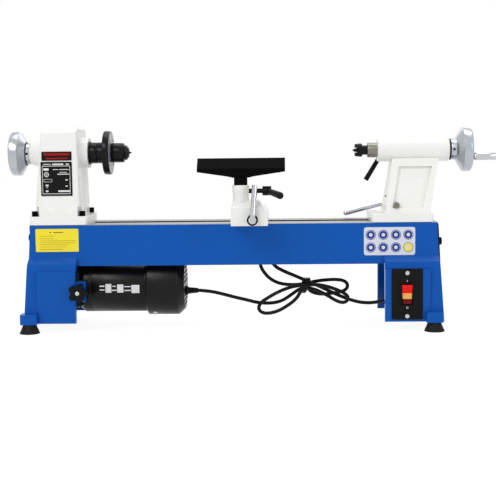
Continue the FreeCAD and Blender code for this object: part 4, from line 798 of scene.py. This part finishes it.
def socket_cap(shape, centre, direction, radius, height, flats):
    """A cap screw's head with its hexagon socket, standing on a face."""
    edge = min(0.0006, height * 0.3)
    turned(shape, [
        (-0.0004, 0), (-0.0004, radius), (height - edge, radius), (height, radius - edge),
        (height, flats / 2 + 0.0003, hexagon), (height - 0.0003, flats / 2, hexagon),
        (height * 0.35, flats / 2, hexagon), (height * 0.35, 0)], centre, direction, HEAD_SIDES)


def cross(angle):
    """The share of its radius that a cross recess has at an angle."""
    turn = (angle % (math.pi / 2)) / (math.pi / 2)
    return 1 - 0.62 * math.sin(math.pi * turn) ** 0.6


def pan_head(shape, centre, direction, radius, height):
    """A domed screw head with a cross recess."""
    turned(shape, [
        (-0.0003, 0), (-0.0003, radius), (height * 0.35, radius), (height * 0.8, radius * 0.8),
        (height, radius * 0.5), (height, radius * 0.46, cross), (height * 0.3, radius * 0.34, cross),
        (height * 0.3, 0)], centre, direction, HEAD_SIDES)


def barrel_mark(shape, centre, radius, start, end, bottom, top, steps=5):
    """A thin block printed round a barrel that lies along X, on the side towards the operator."""
    inner, outer = [], []
    for k in range(steps + 1):
        angle = math.asin((bottom + (top - bottom) * k / steps) / radius)
        for ring, out in ((inner, radius - 0.0002), (outer, radius + 0.0001)):
            y, z = centre.y - out * math.cos(angle), centre.z + out * math.sin(angle)
            ring.append([shape.verts.new((x, y, z)) for x in (start, end)])
    loop = outer + inner[::-1]
    for first, second in zip(loop, loop[1:] + loop[:1]):
        shape.faces.new((first[0], first[1], second[1], second[0]))
    for side in (0, 1):
        for k in range(steps):
            shape.faces.new((outer[k][side], outer[k + 1][side], inner[k + 1][side], inner[k][side]))


class LATHE_OT_cover_knobs(Operator):
    """Knurled thumb knobs that hold the end covers"""
    bl_idname = "lathe.cover_knobs"
    bl_label = "Cover knobs"

    def execute(self, context):
        shape = bmesh.new()
        knurl = flutes(20, 0.11)
        for low, high in loose_boxes("cover_knobs"):
            centre = middle(low, high)
            outward = 1 if centre.x > 0 else -1
            start = Vector((low.x if outward > 0 else high.x, centre.y, centre.z))
            total, radius = high.x - low.x, (high.z - low.z) / 2
            neck = total - 0.0098
            turned(shape, [
                (0, 0), (0, 0.0029), (neck, 0.0029), (neck, 0.0052), (neck + 0.001, radius * 0.93),
                (neck + 0.0018, radius, knurl), (total - 0.0016, radius, knurl),
                (total - 0.0006, radius * 0.9), (total, radius * 0.72), (total, radius * 0.42),
                (total - 0.0008, radius * 0.36), (total - 0.0008, 0)], start, (outward, 0, 0), 120)
        piece("cover_knob_grips", shape, "frame", "plastic", "black_plastic", "cover_knobs")
        return {"FINISHED"}


class LATHE_OT_motor_trim(Operator):
    """Pale blocks printed on the motor, its bell's skirt, its fan cover's screws and the knob's insert"""
    bl_idname = "lathe.motor_trim"
    bl_label = "Motor trim"

    def execute(self, context):
        low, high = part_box("motor_housing")
        centre, radius = middle(low, high), (high.z - low.z) / 2
        shape = bmesh.new()
        blocks = [(0.317, 0.422, -0.007, 0.0085), (0.525, 0.636, -0.007, 0.0075),
                  (0.779, 0.921, -0.008, 0.0065), (0.21, 0.30, 0.0035, 0.0058),
                  (0.21, 0.30, -0.0030, -0.0010), (0.44, 0.50, 0.0035, 0.0052),
                  (0.43, 0.515, -0.0038, -0.0018), (0.65, 0.77, 0.0028, 0.0045),
                  (0.65, 0.77, -0.0042, -0.0022)]
        for left, right, bottom, top in blocks:
            start, end = low.x + left * (high.x - low.x), low.x + right * (high.x - low.x)
            barrel_mark(shape, centre, radius, start, end, bottom, top)
        piece("motor_marks", shape, "frame", "ink", "label_film")

        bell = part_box("motor_end_bells")[0].x
        skirt = bmesh.new()
        turned(skirt, eased([
            (-0.0085, 0.0375), (0.0, 0.0452), (0.002, 0.04705), (0.0180, 0.04705), (0.0180, 0.0462),
            (0.0020, 0.0455), (-0.0065, 0.0360), (-0.0085, 0.0360)], 0.0012),
            Vector((bell, centre.y, centre.z)), (1, 0, 0))
        piece("motor_bell_skirt", skirt, "frame", "trim", "black_enamel")

        cover_low, cover_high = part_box("fan_cover")
        cover = middle(cover_low, cover_high)
        reach = (cover_high.z - cover_low.z) / 2
        screws = bmesh.new()
        for turn in (-60, 60, 180):
            angle = math.radians(turn)
            out = Vector((0, -math.cos(angle), math.sin(angle)))
            pan_head(screws, Vector((cover_low.x + 0.0135, cover.y, cover.z)) + out * (reach - 0.0002), out,
                     0.0036, 0.0018)
        piece("fan_cover_screws", screws, "frame", "zinc", "zinc_steel")

        knob_low, knob_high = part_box("motor_lock_knob")
        insert = bmesh.new()
        knob = middle(knob_low, knob_high)
        turned(insert, [(0, 0), (0, 0.0034), (0.0006, 0.0034), (0.0011, 0.0026), (0.0011, 0)],
               Vector((knob.x - 0.001, knob_low.y - 0.0002, knob.z)), (0, -1, 0), steps=48)
        piece("lock_knob_insert", insert, "belt_lock", "zinc", "zinc_steel")
        return {"FINISHED"}


class LATHE_OT_spindle_trim(Operator):
    """Black ring behind the handwheel's cone, a dark piece standing for the shade in the gap there, and the
    nose collar's flange
    """
    bl_idname = "lathe.spindle_trim"
    bl_label = "Spindle trim"

    def execute(self, context):
        axis = BED.y, BED.z + CENTRE_HEIGHT
        # Painted shade: a black ring in the gap behind the cone, where the gap lies in shadow.
        ring = bmesh.new()
        turned(ring, eased([(0.0052, 0.0186), (0.0052, 0.0204), (0.0070, 0.0222), (0.0076, 0.0208)], 0.0003),
               Vector((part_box("spindle_handwheel")[1].x, *axis)), (-1, 0, 0))
        piece("handwheel_shade_ring", ring, "spindle_line", "oxide", "black_oxide")
        flange = bmesh.new()
        turned(flange, eased([(0, 0.0180), (0, 0.0205), (0.0026, 0.0205), (0.0034, 0.0180)], 0.0005),
               Vector((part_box("nose_collar")[0].x, *axis)), (1, 0, 0))
        piece("collar_flange", flange, "spindle_line", "oxide", "black_oxide")
        return {"FINISHED"}


class LATHE_OT_clamp_trim(Operator):
    """Open black ring round the tool rest's cam shaft, a dark piece standing for the shaded recess there, and
    socketed cap on the tailstock's
    """
    bl_idname = "lathe.clamp_trim"
    bl_label = "Clamp trim"

    def execute(self, context):
        shafts = loose_boxes("banjo_cam")
        shaft = shafts[-1] if shafts[-1][1].y >= 0 else max(shafts, key=lambda pair: pair[1].y)
        centre = middle(*shaft)
        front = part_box("banjo_cam")[0].y
        # The ring is open where the lever's bar passes through it.
        lever, gap, steps = math.radians(86), math.radians(33), 48
        turns = [lever + gap + (2 * math.pi - 2 * gap) * k / steps for k in range(steps + 1)]
        arc = [(centre.x + radius * math.cos(a), centre.z + radius * math.sin(a))
               for radius, side in ((0.0094, turns), (0.0066, turns[::-1])) for a in side]
        # Painted shade: the black ring fills the recess round the shaft, where the recess lies in shadow.
        shade_bush = rounded(extruded(arc, (0, front + 0.006, 0), (1, 0, 0), (0, 0, 1), 0.0065), 0.0003, 2, 50)
        piece("rest_cam_shade_ring", shade_bush, "rest_cam", "oxide_cast", "black_oxide")
        end = max(loose_boxes("tailstock_cam"), key=lambda pair: pair[1].y - pair[0].y)
        centre = middle(*end)
        cap = bmesh.new()
        socket_cap(cap, Vector((centre.x, end[0].y - 0.0001, centre.z)), (0, -1, 0), 0.0056, 0.0016, 0.0052)
        piece("tail_cam_cap", cap, "tail_cam", "turned", "machined_steel")
        return {"FINISHED"}


class LATHE_OT_quill_lock(Operator):
    """Flat black bar and round hub of the quill lock, standing for the plain lever"""
    bl_idname = "lathe.quill_lock"
    bl_label = "Quill lock"

    def execute(self, context):
        low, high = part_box("quill_lock_lever")
        hub_x, hub_z = high.x - 0.008, high.z - 0.008
        shape = bmesh.new()
        turned(shape, eased([
            (0, 0.0030), (0, 0.0068), (0.0125, 0.0068), (0.0145, 0.0054), (0.0145, 0.0030)], 0.0006),
            Vector((hub_x, high.y - 0.0150, hub_z)), (0, 1, 0), steps=48)
        start = Vector((hub_x, high.y - 0.008, hub_z))
        tip = Vector((low.x + 0.0034, high.y - 0.006, low.z + 0.0026))
        along = (tip - start).normalized()
        flat = along.cross(Vector((0, 1, 0))).normalized()
        thick = flat.cross(along)
        bar = bmesh.new()
        outline = [(start, 0.0034, 0.0030), (start + along * 0.012, 0.0038, 0.0030), (tip, 0.0042, 0.0034)]
        rings = []
        for place, half, deep in outline:
            rings.append([bar.verts.new(place + flat * a + thick * b) for a, b in (
                (-half, -deep), (half, -deep), (half, deep), (-half, deep))])
        for first, second in zip(rings, rings[1:]):
            for k in range(4):
                bar.faces.new((first[k], first[(k + 1) % 4], second[(k + 1) % 4], second[k]))
        bar.faces.new(rings[0])
        bar.faces.new(rings[-1][::-1])
        rounded(bar, 0.0007)
        mesh = bpy.data.meshes.new("bar")
        bar.to_mesh(mesh)
        bar.free()
        shape.from_mesh(mesh)
        bpy.data.meshes.remove(mesh)
        piece("quill_lock_bar", shape, "quill_lock", "plastic", "black_plastic", "quill_lock_lever")
        return {"FINISHED"}


# ---------------------------------------------------------------- switch
class LATHE_OT_rocker(Operator):
    """Rocker with a pale band of painted highlight and a foot of painted shade, standing for the plain one"""
    bl_idname = "lathe.rocker"
    bl_label = "Rocker"

    def execute(self, context):
        low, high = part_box("rocker_switch")
        x0, x1 = low.x + 0.0001, high.x - 0.0001
        rise = high.z - low.z
        outline = [(0.0, 0.14), (0.12, 0.13), (0.26, 0.18), (0.40, 0.23), (0.55, 0.24), (0.70, 0.17),
                   (0.86, 0.08), (0.97, 0.012), (1.0, 0.0)]
        shape = bmesh.new()
        rings = []
        for share, back in outline:
            y, z = low.y + 0.0002 + back * (high.y - low.y), low.z + share * rise
            inset = 0.0016 * max(0.0, 1 - (z - low.z) / (0.6 * rise))
            left, right = x0 + inset, x1 - inset
            rings.append([shape.verts.new(p) for p in (
                (left, y + 0.010, z), (left, y + 0.0007, z), (left + 0.0007, y, z),
                (right - 0.0007, y, z), (right, y + 0.0007, z), (right, y + 0.010, z))])
        # Painted light: the lowest quarter takes a shaded copy of the red, and the band above it a painted
        # highlight.
        red, pale, dark = range(3)
        shade_top, highlight_top = 0.26, 0.55
        for first, second in zip(rings, rings[1:]):
            height = (first[0].co.z + second[0].co.z) / 2
            share = (height - low.z) / rise
            tone = dark if share < shade_top else pale if share < highlight_top else red
            for k in range(6):
                n = (k + 1) % 6
                face = shape.faces.new((first[k], first[n], second[n], second[k]))
                face.material_index = tone
        shape.faces.new(rings[0])
        shape.faces.new(rings[-1][::-1])
        item = piece("rocker_face", shape, "rocker", "rocker", "red_plastic", "rocker_switch")
        item.data.materials.append(FINISH["window"])
        item.data.materials.append(FINISH["rocker_shade"])
        return {"FINISHED"}


class LATHE_OT_switch_marks(Operator):
    """Line and ring above and below the rocker, for on and off"""
    bl_idname = "lathe.switch_marks"
    bl_label = "Switch marks"

    def execute(self, context):
        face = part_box("switch_plate")[0].y
        low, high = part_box("switch_housing")
        x = (low.x + high.x) / 2
        shape = bmesh.new()
        bar = rectangle((x - 0.0005, high.z + 0.0006), (x + 0.0005, high.z + 0.0034), 0.0002)
        extruded(bar, (0, face, 0), (1, 0, 0), (0, 0, 1), PRINT_HEIGHT, shape)
        ring_mark(shape, (x, low.z - 0.0026), 0.0019, 0.0012, face)
        piece("switch_marks", shape, "frame", "ink", "label_film")
        return {"FINISHED"}


# ---------------------------------------------------------------- finishes on the CAD parts
class LATHE_OT_finishes(Operator):
    """Gives every carried-over CAD part its material and eases its edges"""
    bl_idname = "lathe.finishes"
    bl_label = "Finishes"

    def execute(self, context):
        FINISH.update(make_finishes())
        s = sizes()
        for finish, names in NODE_FINISH.items():
            for name in names:
                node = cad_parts[name]
                node.data.materials.clear()
                node.data.materials.append(FINISH[finish])
                ease_node(name, s.cast_edge if name in CAST else s.edge)
        return {"FINISHED"}


# ---------------------------------------------------------------- stage
def lamp(name, place, target, size, power):
    """A white soft box, aimed at a point."""
    data = bpy.data.lights.new(name, "AREA")
    data.shape = "RECTANGLE"
    data.size, data.size_y = size
    data.energy = power
    item = bpy.data.objects.new(name, data)
    bpy.context.scene.collection.objects.link(item)
    item.location = place
    item.rotation_euler = (Vector(target) - Vector(place)).to_track_quat("-Z", "Y").to_euler()


def background_rays(tree):
    """One for rays from the camera and for those that metal and clear plastic send on, else nought."""
    rays = add(tree, "ShaderNodeLightPath").outputs
    sent = add(tree, "ShaderNodeMath", {0: rays["Is Glossy Ray"], 1: rays["Is Transmission Ray"]},
               operation="MAXIMUM").outputs[0]
    return add(tree, "ShaderNodeMath", {0: rays["Is Camera Ray"], 1: sent}, operation="MAXIMUM").outputs[0]


class LATHE_OT_stage(Operator):
    """Sets a white floor and soft lights round the lathe"""
    bl_idname = "lathe.stage"
    bl_label = "Stage"

    def execute(self, context):
        scene = context.scene
        world = bpy.data.worlds.new("Studio")
        scene.world = world
        world.use_nodes = True
        tree = world.node_tree
        tree.nodes.clear()
        # Half as bright for what the world lights as for what is seen behind the lathe.
        level = add(tree, "ShaderNodeMapRange", {"Value": background_rays(tree), "To Min": 0.5,
                                                 "To Max": 1.0}).outputs[0]
        back = add(tree, "ShaderNodeBackground", {"Color": (1, 1, 1, 1), "Strength": level})
        add(tree, "ShaderNodeOutputWorld", {"Surface": back.outputs[0]})

        floor_shape = bmesh.new()
        bmesh.ops.create_grid(floor_shape, x_segments=8, y_segments=8, size=sizes().room / 2)
        mesh = bpy.data.meshes.new("floor")
        floor_shape.to_mesh(mesh)
        floor_shape.free()
        floor = bpy.data.objects.new("floor", mesh)
        scene.collection.objects.link(floor)
        floor.location = (0, 0, CAD_BOX[0][2])
        # Matt paper, which shows almost white and keeps a little of the lathe's shadow.
        made, tree, shader = surface("Seamless paper", linear("#F3F3F3"), 0.0, 0.9)
        glow = add(tree, "ShaderNodeEmission", {"Color": (1, 1, 1, 1), "Strength": 1.08})
        share = add(tree, "ShaderNodeMath", {0: background_rays(tree), 1: 0.86},
                    operation="MULTIPLY").outputs[0]
        out = next(n for n in tree.nodes if n.type == "OUTPUT_MATERIAL")
        add(tree, "ShaderNodeMixShader", {0: share, 1: shader.outputs[0], 2: glow.outputs[0]},
            out.inputs["Surface"])
        mesh.materials.append(made)

        aim = (0, 0, 0.2)
        lamp("Key", (-1.1, -1.6, 1.7), aim, (1.2, 0.9), 19)
        lamp("Fill", (1.7, -1.3, 0.9), aim, (1.0, 1.0), 7)
        lamp("Top", (0.1, 0.3, 1.9), aim, (1.8, 1.0), 11)
        lamp("Back", (0.4, 1.7, 1.2), aim, (1.8, 0.8), 4)
        scene.view_settings.view_transform = "Standard"
        return {"FINISHED"}


# ---------------------------------------------------------------- add-on
STEPS = [LATHE_OT_camera, LATHE_OT_finishes, LATHE_OT_cord, LATHE_OT_headstock_plates, LATHE_OT_bed_plates,
         LATHE_OT_cover_knobs, LATHE_OT_motor_trim, LATHE_OT_spindle_trim, LATHE_OT_clamp_trim,
         LATHE_OT_quill_lock, LATHE_OT_rocker, LATHE_OT_switch_marks, LATHE_OT_stage]


class LATHE_PT_panel(Panel):
    """The lathe's steps, in order"""
    bl_label = "Bench wood lathe"
    bl_idname = "LATHE_PT_panel"
    bl_space_type = "VIEW_3D"
    bl_region_type = "UI"
    bl_category = "Lathe"

    def draw(self, context):
        for step in STEPS:
            self.layout.operator(step.bl_idname)


CLASSES = [LatheColours, LatheSizes, *STEPS, LATHE_PT_panel]


def register():
    """Adds the lathe's classes and settings."""
    for item in CLASSES:
        bpy.utils.register_class(item)
    bpy.types.Scene.lathe_colours = PointerProperty(type=LatheColours)
    bpy.types.Scene.lathe_sizes = PointerProperty(type=LatheSizes)


def unregister():
    """Takes them away again."""
    del bpy.types.Scene.lathe_sizes
    del bpy.types.Scene.lathe_colours
    for item in reversed(CLASSES):
        bpy.utils.unregister_class(item)


def main():
    """Runs every step in order."""
    register()
    for step in STEPS:
        area, name = step.bl_idname.split(".")
        getattr(getattr(bpy.ops, area), name)()


if __name__ == "__main__":
    main()
